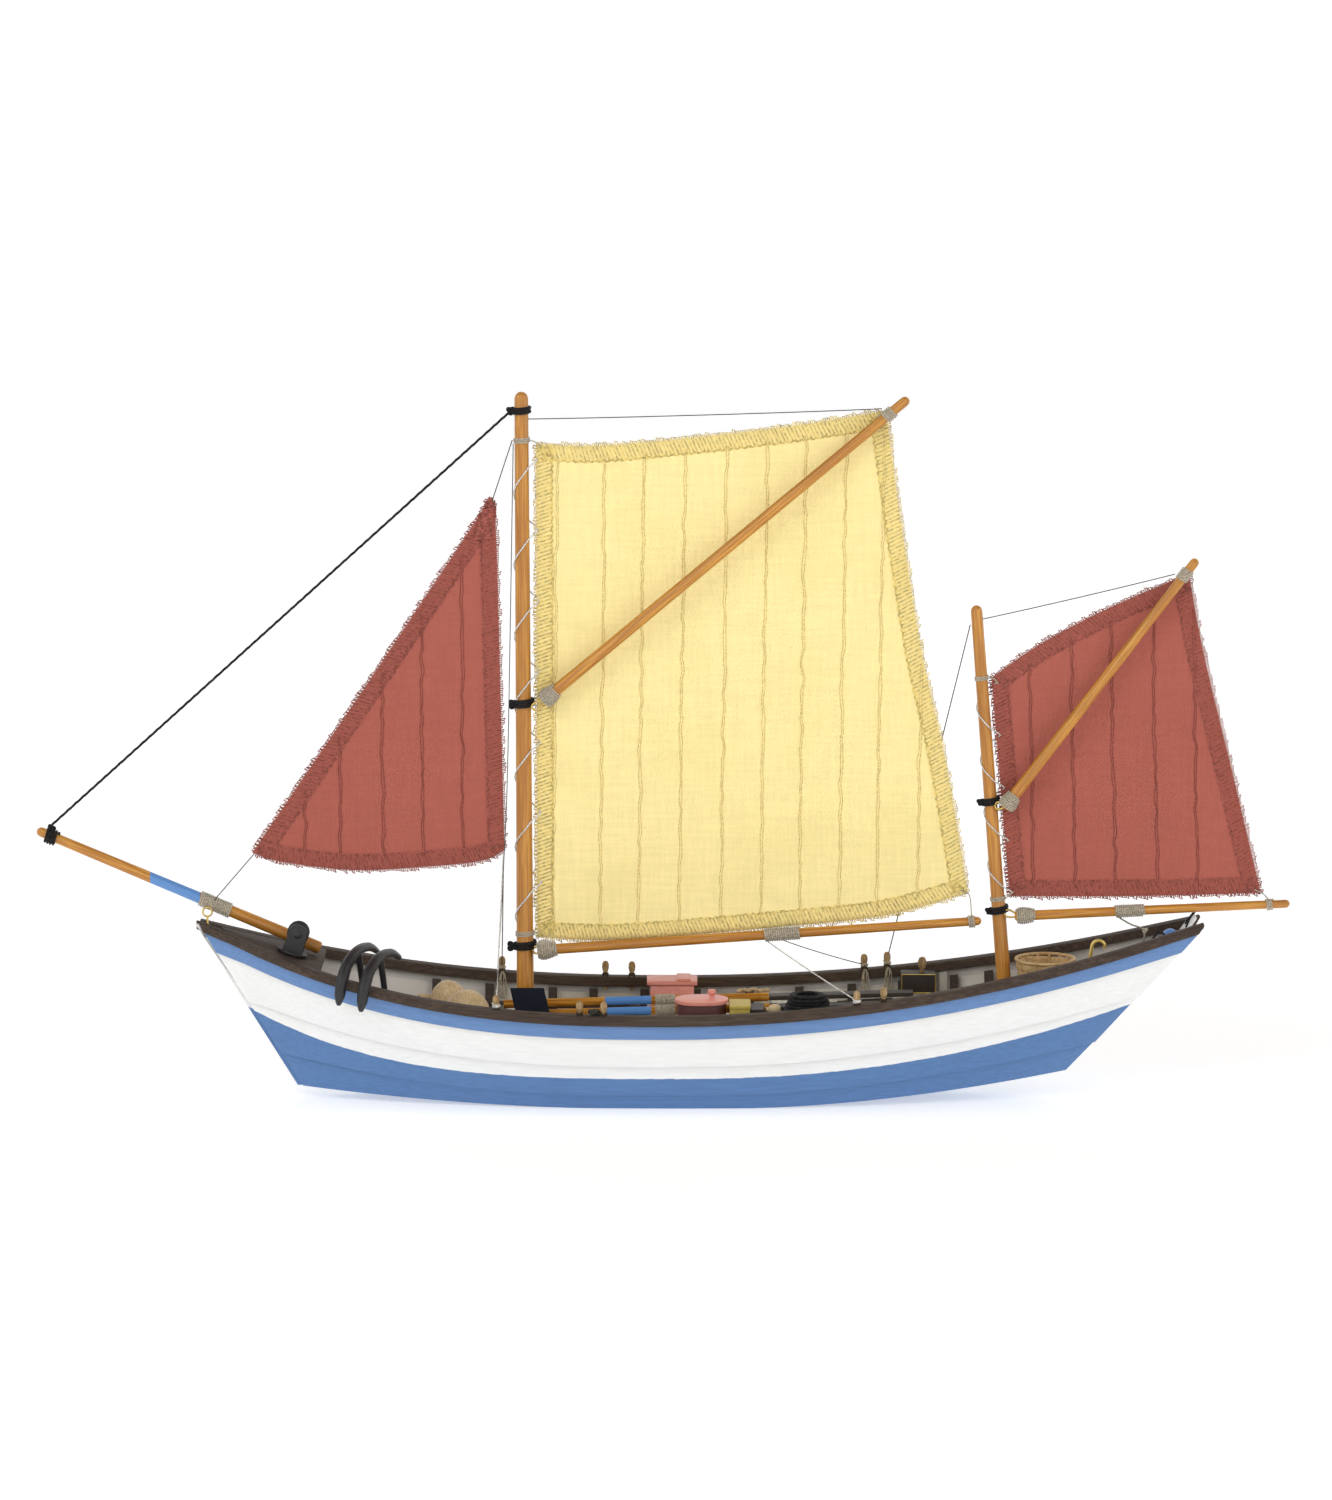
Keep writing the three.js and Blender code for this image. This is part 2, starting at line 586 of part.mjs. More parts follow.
function basket() {
  const { x, z, height, rFoot, rRim, wall } = BASKET;
  const profile = [
    [0, 0], [rFoot, 0], [rRim, height], [rRim - wall, height], [rFoot - wall, wall], [0, wall],
  ];
  return turned(profile, 24).translate(x, 0, z);
}
add('basket', basket(), 0xcaa878, 0.8);

// The coil's outer shape: a ring round an open eye.
const COIL = { x: 57.4, y: -23.8, z: 39.4, rIn: 3.6, rOut: 12.2, height: 11.8 };

function ropeCoil() {
  const { rIn, rOut, height } = COIL;
  const profile = [];
  for (let i = 0; i <= 12; i += 1) {
    const angle = (i / 12) * 2 * Math.PI;
    const middle = (rIn + rOut) / 2;
    profile.push([middle + (rOut - rIn) / 2 * Math.cos(angle), height / 2 * Math.sin(angle)]);
  }
  return turned(profile, 24).translate(COIL.x, COIL.y, COIL.z + height / 2);
}
add('rope_coil', ropeCoil(), IRON, 0.9);

export default boat;
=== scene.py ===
"""Looks of the sailing dory model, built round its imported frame.

Lengths and places are in millimetres in this file, and MM turns them into metres.
+X runs from the bow to the stern, +Y to starboard and +Z up.
"""
import json
import math
import random

import bmesh
import bpy
import numpy as np
from mathutils import Matrix, Vector
from mathutils.bvhtree import BVHTree
from mathutils.noise import noise


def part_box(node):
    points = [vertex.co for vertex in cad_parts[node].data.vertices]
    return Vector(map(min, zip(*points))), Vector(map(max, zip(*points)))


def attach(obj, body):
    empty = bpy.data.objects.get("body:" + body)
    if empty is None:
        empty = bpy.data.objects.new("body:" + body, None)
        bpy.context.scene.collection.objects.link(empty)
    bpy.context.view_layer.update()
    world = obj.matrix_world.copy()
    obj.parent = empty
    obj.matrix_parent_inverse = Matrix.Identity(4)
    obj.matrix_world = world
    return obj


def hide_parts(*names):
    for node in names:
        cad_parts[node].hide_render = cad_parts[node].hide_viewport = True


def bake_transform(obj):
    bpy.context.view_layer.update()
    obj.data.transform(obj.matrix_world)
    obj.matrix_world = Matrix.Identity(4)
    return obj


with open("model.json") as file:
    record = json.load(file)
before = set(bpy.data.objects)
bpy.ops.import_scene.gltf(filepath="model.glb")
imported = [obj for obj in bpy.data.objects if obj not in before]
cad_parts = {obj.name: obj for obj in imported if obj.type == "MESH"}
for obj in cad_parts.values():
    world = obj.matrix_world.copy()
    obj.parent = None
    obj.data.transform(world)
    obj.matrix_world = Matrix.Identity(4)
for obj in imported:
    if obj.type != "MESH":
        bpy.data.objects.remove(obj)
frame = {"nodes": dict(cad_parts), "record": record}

MM = 0.001
PORT, STARBOARD = -1, 1
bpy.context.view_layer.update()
chance = random.Random(11)

# ------------------------------------------------------------------ camera, floor and lights
CAMERA = {"target": (-6.3, 0, 159.25), "distance": 2600, "pitch": 9.0, "lens": 156.16}
FLOOR_REACH = 4.2      # metres from the middle to where the floor curves up
BOWL_HEIGHT = 4.5      # metres up to the rim of the curved backdrop
BOWL_SIDES, BOWL_STEPS = 64, 8
FLOOR_GLOW, SKY_GLOW = 0.435, 0.19
LIGHTS = {             # place in metres, size in metres, power in watts
    "key": ((-0.9, -1.5, 1.7), 1.2, 11.2),
    "fill": ((1.4, -1.2, 0.9), 1.4, 3.8),
    "back": ((0.3, 1.6, 1.6), 1.4, 5.2),
}


def make_camera():
    data = bpy.data.cameras.new("camera")
    data.lens = CAMERA["lens"]
    data.sensor_width = 36
    data.sensor_fit = "HORIZONTAL"
    data.clip_start, data.clip_end = 0.05, 50
    camera = bpy.data.objects.new("camera", data)
    pitch = math.radians(CAMERA["pitch"])
    back = Vector((0, -math.cos(pitch), math.sin(pitch))) * CAMERA["distance"]
    camera.location = (Vector(CAMERA["target"]) + back) * MM
    camera.rotation_euler = (math.pi / 2 - pitch, 0, 0)
    bpy.context.scene.collection.objects.link(camera)
    bpy.context.scene.camera = camera


def area_light(name, place, size, power, target=(0, 0, 0.12)):
    data = bpy.data.lights.new(name, "AREA")
    data.size = size
    data.energy = power
    light = bpy.data.objects.new(name, data)
    light.location = place
    light.rotation_euler = (Vector(target) - Vector(place)).to_track_quat("-Z", "Y").to_euler()
    bpy.context.scene.collection.objects.link(light)


def make_studio():
    """A pale round floor that curves up into a backdrop on every side."""
    bpy.context.scene.view_settings.view_transform = "Standard"
    profile = [(0, 0), (FLOOR_REACH, 0)]
    for k in range(1, BOWL_STEPS + 1):
        angle = math.pi / 2 * k / BOWL_STEPS
        profile.append((FLOOR_REACH + math.sin(angle), 1 - math.cos(angle)))
    profile.append((FLOOR_REACH + 1, BOWL_HEIGHT))
    sides = BOWL_SIDES
    verts = [(x * math.cos(2 * math.pi * j / sides), x * math.sin(2 * math.pi * j / sides), z)
             for x, z in profile for j in range(sides)]
    faces = [(i * sides + j, i * sides + (j + 1) % sides, (i + 1) * sides + (j + 1) % sides,
              (i + 1) * sides + j) for i in range(len(profile) - 1) for j in range(sides)]
    mesh = bpy.data.meshes.new("floor")
    mesh.from_pydata(verts, [], faces)
    mesh.shade_smooth()
    floor = bpy.data.objects.new("floor", mesh)
    bpy.context.scene.collection.objects.link(floor)
    material = bpy.data.materials.new("floor")
    material.use_nodes = True
    shader = material.node_tree.nodes["Principled BSDF"]
    shader.inputs["Base Color"].default_value = (0.85, 0.85, 0.85, 1)
    shader.inputs["Roughness"].default_value = 0.9
    shader.inputs["Specular IOR Level"].default_value = 0.1
    shader.inputs["Emission Color"].default_value = (1, 1, 1, 1)
    shader.inputs["Emission Strength"].default_value = FLOOR_GLOW
    mesh.materials.append(material)
    world = bpy.context.scene.world or bpy.data.worlds.new("world")
    bpy.context.scene.world = world
    world.use_nodes = True
    sky = world.node_tree.nodes["Background"]
    sky.inputs["Color"].default_value = (1, 1, 1, 1)
    sky.inputs["Strength"].default_value = SKY_GLOW
    for name, (place, size, power) in LIGHTS.items():
        area_light(name, place, size, power)


make_camera()
make_studio()


# ------------------------------------------------------------------ materials
class Finish:
    """Small helper that builds one procedural material, node by node."""

    def __init__(self, name, roughness, metallic=0.0):
        self.material = bpy.data.materials.new(name)
        self.material.use_nodes = True
        self.tree = self.material.node_tree
        self.shader = self.tree.nodes["Principled BSDF"]
        self.shader.inputs["Roughness"].default_value = roughness
        self.shader.inputs["Metallic"].default_value = metallic
        coordinates = self.tree.nodes.new("ShaderNodeTexCoord")
        self.place = coordinates.outputs["Object"]
        self.normal = coordinates.outputs["Normal"]

    def link(self, value, socket):
        if isinstance(value, bpy.types.NodeSocket):
            self.tree.links.new(value, socket)
        elif hasattr(value, "__len__") and len(socket.default_value) == 4:
            socket.default_value = (*value, 1)
        else:
            socket.default_value = value

    def math(self, operation, a, b=0.0):
        node = self.tree.nodes.new("ShaderNodeMath")
        node.operation = operation
        self.link(a, node.inputs[0])
        self.link(b, node.inputs[1])
        return node.outputs[0]

    def axes(self, vector):
        node = self.tree.nodes.new("ShaderNodeSeparateXYZ")
        self.link(vector, node.inputs[0])
        return node.outputs

    def noise(self, scale, detail=3.0, stretch=(1, 1, 1), turn=0.0, vector=None):
        """Noise over the object's own place, stretched along its axes, from 0 to 1."""
        mapping = self.tree.nodes.new("ShaderNodeMapping")
        self.link(vector or self.place, mapping.inputs["Vector"])
        mapping.vector_type = "TEXTURE"
        mapping.inputs["Rotation"].default_value = (0, turn, 0)
        mapping.inputs["Scale"].default_value = stretch
        node = self.tree.nodes.new("ShaderNodeTexNoise")
        self.link(mapping.outputs[0], node.inputs["Vector"])
        node.inputs["Scale"].default_value = scale
        node.inputs["Detail"].default_value = detail
        return node.outputs["Fac"]

    def ramp(self, value, low, high):
        """0 below low, 1 above high, smooth between."""
        node = self.tree.nodes.new("ShaderNodeMapRange")
        node.interpolation_type = "SMOOTHSTEP"
        self.link(value, node.inputs["Value"])
        node.inputs["From Min"].default_value = low
        node.inputs["From Max"].default_value = high
        return node.outputs["Result"]

    def mix(self, share, a, b):
        node = self.tree.nodes.new("ShaderNodeMix")
        node.data_type = "RGBA"
        self.link(share, node.inputs["Factor"])
        self.link(a, node.inputs[6])
        self.link(b, node.inputs[7])
        return node.outputs[2]

    def within(self, value, low, high, soft=0.0002):
        """1 between low and high, 0 outside."""
        above = self.ramp(value, low - soft, low + soft)
        below = self.ramp(value, high + soft, high - soft)
        return self.math("MULTIPLY", above, below)

    def colour(self, value):
        self.link(value, self.shader.inputs["Base Color"])

    def bump(self, height, depth, strength=1.0):
        node = self.tree.nodes.new("ShaderNodeBump")
        node.inputs["Distance"].default_value = depth
        node.inputs["Strength"].default_value = strength
        self.link(height, node.inputs["Height"])
        self.link(node.outputs[0], self.shader.inputs["Normal"])


def shade(colour, factor):
    return tuple(min(1.0, channel * factor) for channel in colour)


def paint(name, colour, roughness=0.5, streak=(8, 1, 1), wear=0.25, gloss=0.5):
    """Brushed paint on wood, thin along the edges."""
    f = Finish(name, roughness)
    f.shader.inputs["Specular IOR Level"].default_value = gloss
    brush = f.noise(900, 4, streak)
    cloud = f.noise(45, 3)
    tone = f.mix(f.ramp(brush, 0.3, 0.7), shade(colour, 0.9), shade(colour, 1.06))
    tone = f.mix(f.ramp(cloud, 0.35, 0.75), tone, shade(colour, 0.96))
    geometry = f.tree.nodes.new("ShaderNodeNewGeometry")
    edge = f.ramp(geometry.outputs["Pointiness"], 0.54, 0.62)
    worn = f.math("MULTIPLY", edge, f.math("MULTIPLY", f.ramp(f.noise(300), 0.4, 0.6), wear))
    f.colour(f.mix(worn, tone, shade(colour, 1.7)))
    f.bump(brush, 0.00012, 0.6)
    return f.material


def wood(name, light, dark, angle=0.0, roughness=0.42, bands=(), coat=0.25, gloss=0.5):
    """Long grain along a line that climbs at angle in the XZ plane. bands are painted rings."""
    f = Finish(name, roughness)
    grain = f.noise(1500, 4, (34, 1, 1), -angle)
    figure = f.noise(260, 2, (16, 1, 1), -angle)
    tone = f.mix(f.ramp(grain, 0.38, 0.66), dark, light)
    tone = f.mix(f.math("MULTIPLY", f.ramp(figure, 0.4, 0.7), 0.55), tone, shade(dark, 0.82))
    x = f.axes(f.place)[0]
    for low, high, colour in bands:
        tone = f.mix(f.within(x, low * MM, high * MM), tone, colour)
    f.colour(tone)
    f.shader.inputs["Coat Weight"].default_value = coat
    f.shader.inputs["Coat Roughness"].default_value = 0.3
    f.shader.inputs["Specular IOR Level"].default_value = gloss
    f.bump(grain, 0.00008, 0.5)
    return f.material


def cloth(name, colour, darker, pitch=0.0011):
    """Plain weave with a slub here and there."""
    f = Finish(name, 0.92)
    x, y, z = f.axes(f.place)
    turn = 2 * math.pi / pitch
    warp = f.math("SINE", f.math("MULTIPLY", x, turn))
    weft = f.math("SINE", f.math("MULTIPLY", z, turn * 0.93))
    weave = f.math("MULTIPLY", warp, weft)
    slub = f.noise(700, 3, (1, 1, 14))
    cross = f.noise(700, 3, (14, 1, 1))
    fibre = f.math("MULTIPLY", f.math("ADD", slub, cross), 0.5)
    cloud = f.noise(22, 3)
    tone = f.mix(f.ramp(fibre, 0.36, 0.64), shade(colour, 0.95), shade(colour, 1.03))
    tone = f.mix(f.math("MULTIPLY", f.ramp(cloud, 0.4, 0.75), 0.3), tone, darker)
    f.colour(tone)
    f.shader.inputs["Sheen Weight"].default_value = 0.25
    f.shader.inputs["Sheen Roughness"].default_value = 0.6
    f.shader.inputs["Specular IOR Level"].default_value = 0.15
    f.bump(f.math("ADD", f.math("MULTIPLY", weave, 0.4), fibre), 0.00016, 0.45)
    return f.material


def thread(name, colour, roughness=0.85, scale=1600, sheen=0.2):
    """Spun thread: fine fibres, a little lighter where they catch the light."""
    f = Finish(name, roughness)
    fibre = f.noise(scale, 3)
    f.colour(f.mix(f.ramp(fibre, 0.35, 0.65), shade(colour, 0.6), shade(colour, 1.15)))
    f.shader.inputs["Sheen Weight"].default_value = sheen
    f.shader.inputs["Specular IOR Level"].default_value = 0.2
    f.bump(fibre, 0.00015, 0.8)
    return f.material


def metal(name, colour, roughness, metallic, spots):
    """Cast or drawn metal with a mottled surface."""
    f = Finish(name, roughness, metallic)
    grain = f.noise(900, 4)
    f.colour(f.mix(f.ramp(f.noise(140, 3), 0.45, 0.7), colour, spots))
    f.bump(grain, 0.0002, 0.5)
    return f.material


# Colours as linear values.
SHEER_BLUE = (0.118, 0.23, 0.47)
LOW_BLUE = (0.079, 0.184, 0.40)
WHITE_PAINT = (0.86, 0.86, 0.85)
INNER_GREY = (0.66, 0.63, 0.58)
BROWN = (0.072, 0.050, 0.037)
SPAR_LIGHT = (0.64, 0.30, 0.038)
SPAR_DARK = (0.43, 0.16, 0.016)
YELLOW = (0.96, 0.80, 0.36)
YELLOW_DARK = (0.83, 0.68, 0.26)
RED = (0.42, 0.110, 0.077)
RED_DARK = (0.35, 0.086, 0.060)

# The lower paint edge climbs from amidships towards the bow and the stern.
PAINT_EDGE = {"low": 15.8, "bow": (187.4, 22.5, 3.5), "stern": (196.3, 26.4, 2.2)}


def hull_paint(name):
    """White above the paint edge, blue below it, and pale grey on the inside of the planking."""
    f = Finish(name, 0.42)
    x, y, z = f.axes(f.place)
    edge = PAINT_EDGE["low"] * MM
    for word, sign in (("bow", -1.0), ("stern", 1.0)):
        reach, rise, power = PAINT_EDGE[word]
        share = f.math("MAXIMUM", f.math("MULTIPLY", x, sign / (reach * MM)), 0.0)
        climb = f.math("MULTIPLY", f.math("POWER", share, power), rise * MM)
        edge = f.math("ADD", climb, edge)
    ragged = f.math("MULTIPLY", f.math("SUBTRACT", f.noise(220, 3), 0.5), 0.0007)
    above = f.math("ADD", f.math("SUBTRACT", z, edge), ragged)
    brush = f.noise(800, 4, (12, 1, 1))
    cloud = f.noise(30, 3)
    white = f.mix(f.ramp(brush, 0.3, 0.7), shade(WHITE_PAINT, 0.95), WHITE_PAINT)
    white = f.mix(f.math("MULTIPLY", f.ramp(cloud, 0.55, 0.8), 0.35), white, (0.80, 0.79, 0.74))
    blue = f.mix(f.ramp(brush, 0.3, 0.7), shade(LOW_BLUE, 0.92), shade(LOW_BLUE, 1.05))
    outside = f.mix(f.ramp(above, -0.0002, 0.0002), blue, white)
    inner = f.mix(f.ramp(cloud, 0.35, 0.7), INNER_GREY, shade(INNER_GREY, 0.84))
    ny = f.axes(f.normal)[1]
    facing = f.math("MULTIPLY", f.math("SIGN", y), ny)
    f.colour(f.mix(f.ramp(facing, -0.05, 0.05), inner, outside))
    f.bump(brush, 0.00012, 0.6)
    return f.material


def two_faced(name, outer, inner, axis, sign):
    """One paint where the surface faces sign along the axis, and another where it doesn't."""
    f = Finish(name, 0.5)
    facing = f.math("MULTIPLY", f.axes(f.normal)[axis], sign)
    if axis == 1:
        facing = f.math("MULTIPLY", facing, f.math("SIGN", f.axes(f.place)[1]))
    brush = f.noise(800, 4, (12, 1, 1))
    out = f.mix(f.ramp(brush, 0.3, 0.7), shade(outer, 0.92), shade(outer, 1.06))
    inside = f.mix(f.ramp(f.noise(60, 3), 0.35, 0.7), inner, shade(inner, 0.84))
    f.colour(f.mix(f.ramp(facing, -0.05, 0.05), inside, out))
    f.bump(brush, 0.00012, 0.6)
    return f.material


FINISH = {
    "hull_two_tone": hull_paint("hull_two_tone"),
    "sheer_blue": two_faced("sheer_blue", SHEER_BLUE, INNER_GREY, 1, 1.0),
    "bottom_blue": two_faced("bottom_blue", LOW_BLUE, shade(INNER_GREY, 0.8), 2, -1.0),
    "gunwale_brown": wood("gunwale_brown", shade(BROWN, 1.2), shade(BROWN, 0.7), roughness=0.7,
                          coat=0.0, gloss=0.2),
    "frame_brown": wood("frame_brown", (0.066, 0.047, 0.038), (0.042, 0.030, 0.025), roughness=0.7,
                        coat=0.0, gloss=0.3),
    "grey_paint": paint("grey_paint", (0.60, 0.57, 0.51), 0.7, (1, 9, 1)),
    "pale_wood": wood("pale_wood", (0.50, 0.35, 0.18), (0.27, 0.165, 0.075), math.pi / 2, 0.6,
                      coat=0.0, gloss=0.3),
    "yellow_cloth": cloth("yellow_cloth", YELLOW, YELLOW_DARK),
    "red_cloth": cloth("red_cloth", shade(RED, 0.96), RED_DARK),
    "black_cord": thread("black_cord", (0.013, 0.013, 0.014), sheen=0.05),
    "pale_cord": thread("pale_cord", (0.50, 0.435, 0.33)),
    "black_iron": metal("black_iron", (0.014, 0.013, 0.015), 0.42, 0.1, (0.024, 0.023, 0.025)),
    "pink_paint": paint("pink_paint", (0.72, 0.265, 0.205), 0.45),
    "dark_red_paint": paint("dark_red_paint", (0.085, 0.022, 0.02), 0.5),
    "dark_wood": paint("dark_wood", (0.026, 0.019, 0.015), 0.55, gloss=0.25),
    "basket_weave": wood("basket_weave", (0.74, 0.53, 0.27), (0.50, 0.32, 0.14), 0, 0.65,
                         coat=0.0, gloss=0.3),
    "navy_paint": paint("navy_paint", (0.006, 0.008, 0.016), 0.6, wear=0.3, gloss=0.12),
    "brass": metal("brass", (0.72, 0.52, 0.16), 0.3, 0.9, (0.55, 0.38, 0.12)),
    "olive_paint": paint("olive_paint", (0.50, 0.38, 0.07), 0.6),
}
YELLOW_THREAD = thread("yellow_thread", (0.78, 0.61, 0.20), scale=700)
RED_THREAD = thread("red_thread", (0.36, 0.098, 0.074), scale=700)
YELLOW_SEAM = thread("yellow_seam", (0.76, 0.60, 0.24))
RED_SEAM = thread("red_seam", (0.25, 0.06, 0.046))
WHITE_THREAD = thread("white_thread", (0.72, 0.70, 0.66))
GREY_THREAD = thread("grey_thread", (0.085, 0.078, 0.07))
GREEN_THREAD = thread("green_thread", (0.03, 0.045, 0.035))
TAN_THREAD = thread("tan_thread", (0.55, 0.40, 0.22))
TWINE = thread("twine", (0.27, 0.235, 0.18))
BUOY_BLUE = paint("buoy_blue", (0.10, 0.25, 0.60), 0.4)
STERN_WHITE = paint("stern_white", (0.80, 0.80, 0.79), 0.5)


# ------------------------------------------------------------------ mesh helpers
def join(parts):
    """Several (vertices, faces) pairs as one."""
    verts, faces = [], []
    for more, rings in parts:
        base = len(verts)
        verts.extend(more)
        faces.extend([base + i for i in face] for face in rings)
    return verts, faces


def piece(name, shape, slot, body, finish=None, smooth=60, bevel=0.0):
    """A new piece in millimetres that rides on a body. body None leaves it loose, on no body."""
    verts, faces = shape
    mesh = bpy.data.meshes.new(name)
    mesh.from_pydata([Vector(v) * MM for v in verts], [], faces)
    shell = bmesh.new()
    shell.from_mesh(mesh)
    bmesh.ops.remove_doubles(shell, verts=shell.verts, dist=1e-7)
    bmesh.ops.recalc_face_normals(shell, faces=shell.faces)
    shell.to_mesh(mesh)
    shell.free()
    mesh.materials.append(finish or FINISH[slot])
    obj = bpy.data.objects.new(name, mesh)
    bpy.context.scene.collection.objects.link(obj)
    mesh.shade_smooth()
    mesh.set_sharp_from_angle(angle=math.radians(smooth))
    if bevel:
        add_bevel(obj, bevel)
    if body:
        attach(obj, body)
    return obj


def add_bevel(obj, width):
    bevel = obj.modifiers.new("edges", "BEVEL")
    bevel.width = width * MM
    bevel.segments = 2
    bevel.limit_method = "ANGLE"
    bevel.angle_limit = math.radians(35)


def tube(points, radius, sides=6, ring=False, lobes=0, pitch=3.2, flat=1.0):
    """A cord along points. radius is one number or one for each point, lobes are its strands,
    and flat squeezes the section."""
    points = [Vector(p) for p in points]
    count = len(points)
    sizes = radius if hasattr(radius, "__len__") else [radius] * count
    side = (points[1] - points[0]).orthogonal().normalized()
    verts, travelled = [], 0.0
    for i, p in enumerate(points):
        before = points[i - 1] if i or ring else p
        after = points[(i + 1) % count] if i + 1 < count or ring else p
        along = (after - before).normalized()
        side = (side - along * side.dot(along)).normalized()
        up = along.cross(side)
        travelled += (p - points[i - 1]).length if i else 0.0
        for j in range(sides):
            angle = 2 * math.pi * j / sides
            r = sizes[i]
            if lobes:
                r *= 0.86 + 0.14 * math.cos(lobes * angle - 2 * math.pi * travelled / pitch)
            verts.append(p + side * (r * math.cos(angle)) + up * (r * flat * math.sin(angle)))
    faces = []
    for i in range(count if ring else count - 1):
        for j in range(sides):
            a, b = i * sides + j, i * sides + (j + 1) % sides
            c = ((i + 1) % count) * sides
            faces.append([a, b, c + (j + 1) % sides, c + j])
    if not ring:
        faces.append(list(range(sides))[::-1])
        faces.append([(count - 1) * sides + j for j in range(sides)])
    return verts, faces


def lathe(profile, at=(0, 0, 0), along=(0, 0, 1), sides=28):
    """A turned shape from [radius, height] pairs, standing on at and pointing along."""
    turn = Vector((0, 0, 1)).rotation_difference(Vector(along))
    verts = []
    for r, height in profile:
        for j in range(sides):
            angle = 2 * math.pi * j / sides
            point = Vector((r * math.cos(angle), r * math.sin(angle), height))
            verts.append(turn @ point + Vector(at))
    faces = []
    for i in range(len(profile) - 1):
        for j in range(sides):
            k = (j + 1) % sides
            faces.append([i * sides + j, i * sides + k, (i + 1) * sides + k, (i + 1) * sides + j])
    return verts, faces


BOX_FACES = [[0, 1, 3, 2], [4, 6, 7, 5], [0, 4, 5, 1], [2, 3, 7, 6], [0, 2, 6, 4], [1, 5, 7, 3]]


def slab(low, high, turn=None, at=(0, 0, 0)):
    """A block, turned by a matrix and moved to at."""
    verts = [Vector((x, y, z)) for x in (low[0], high[0]) for y in (low[1], high[1])
             for z in (low[2], high[2])]
    if turn:
        verts = [turn @ v for v in verts]
    return [v + Vector(at) for v in verts], BOX_FACES


def smooth_line(points, step=1.0):
    """Points every step along a Catmull-Rom curve through points."""
    points = [Vector(p) for p in points]
    line = []
    for i in range(len(points) - 1):
        p0, p1 = points[max(i - 1, 0)], points[i]
        p2, p3 = points[i + 1], points[min(i + 2, len(points) - 1)]
        count = max(1, round((p2 - p1).length / step))
        for k in range(count):
            t = k / count
            line.append(0.5 * (2 * p1 + (p2 - p0) * t + (2 * p0 - 5 * p1 + 4 * p2 - p3) * t * t
                               + (3 * p1 - p0 - 3 * p2 + p3) * t ** 3))
    return line + [points[-1]]


# ------------------------------------------------------------------ what the frame gives
class Spar:
    """Axis and radii of a round CAD spar, measured from its own mesh. The foot is the low end."""

    def __init__(self, node):
        points = np.array([v.co for v in frame["nodes"][node].data.vertices]) / MM
        middle = points.mean(0)
        axis = np.linalg.svd(points - middle, full_matrices=False)[2][0]
        axis = axis if axis[2] > 0 else -axis
        reach = (points - middle) @ axis
        ends = []
        for end in (reach.min(), reach.max()):
            near = points[np.abs(reach - end) < 2.5]
            ends.append((near.min(0) + near.max(0)) / 2)
        self.foot, self.top = Vector(ends[0]), Vector(ends[1])
        self.along = (self.top - self.foot).normalized()
        spread = points - ends[0]
        across = np.linalg.norm(spread - np.outer(spread @ axis, axis), axis=1)
        self.radius = [across[reach < reach.min() + 4].max(), across[reach > reach.max() - 4].max()]
        self.foot -= self.along * self.radius[0] * 0.15

    def at(self, axis, value):
        """The axis point where coordinate number axis has this value, and the radius there."""
        share = (value - self.foot[axis]) / (self.top[axis] - self.foot[axis])
        radius = self.radius[0] + (self.radius[1] - self.radius[0]) * share
        return self.foot.lerp(self.top, share), radius


X_AXIS, Z_AXIS = 0, 2
SPARS = {name: Spar(name) for name in (
    "main_mast", "mizzen_mast", "bowsprit", "main_boom", "mizzen_boom", "main_sprit",
    "mizzen_sprit")}


def tree_of(names):
    """A tree of the CAD nodes' triangles, in millimetres, for rays."""
    verts, faces = [], []
    for name in names:
        base = len(verts)
        mesh = frame["nodes"][name].data
        verts += [v.co / MM for v in mesh.vertices]
        faces += [[base + i for i in p.vertices] for p in mesh.polygons]
    return BVHTree.FromPolygons(verts, faces)


SIDE_WORD = {PORT: "port", STARBOARD: "starboard"}
RAIL_TREE = {side: tree_of([f"gunwale_{word}"]) for side, word in SIDE_WORD.items()}
SKIN_TREE = tree_of([f"plank_{word}_{row}" for word in SIDE_WORD.values() for row in (1, 2, 3, 4)])
ABOVE = 400


def rail(x, side):
    """A point on the flat top of the gunwale at x, nearer to its inner edge."""
    tree = RAIL_TREE[side]
    hits = [tree.ray_cast(Vector((x, side * y * 0.25, ABOVE)), Vector((0, 0, -1)))[0]
            for y in range(4, 220)]
    hits = [hit for hit in hits if hit]
    top = max(hit.z for hit in hits)
    flat = [hit for hit in hits if hit.z > top - 0.3]
    inner = min(flat, key=lambda p: abs(p.y))
    outer = max(flat, key=lambda p: abs(p.y))
    return inner.lerp(outer, 0.35)


def inside(x, z, side, clear=0.4):
    """The inside of the planking at x and z, a little way off it."""
    hit = SKIN_TREE.ray_cast(Vector((x, 0, z)), Vector((0, side, 0)))[0]
    return Vector((x, hit.y - side * clear, z))


# ------------------------------------------------------------------ finishes of the CAD pieces
SUBPARTS = {row["node"]: row["material_slot"] for row in frame["record"]["subparts"]}
BAND_BLUE = (0.10, 0.25, 0.56)
SPAR_BANDS = {"bowsprit": [(-239.3, -216.8, BAND_BLUE)]}
OAR_BANDS = [(-34, -13, BAND_BLUE), (40.5, 112, (0.05, 0.04, 0.03))]
BAILER_WOOD = wood("bailer_wood", (0.66, 0.50, 0.28), (0.50, 0.34, 0.16), math.pi / 2, 0.6)
EDGES = {
    "hull_two_tone": 0.25, "sheer_blue": 0.25, "gunwale_brown": 0.35, "frame_brown": 0.4,
    "grey_paint": 0.4, "pink_paint": 0.5, "dark_red_paint": 0.4, "dark_wood": 0.35,
    "spar_wood": 0.25, "oar_wood": 0.4, "bottom_blue": 0.3,
}


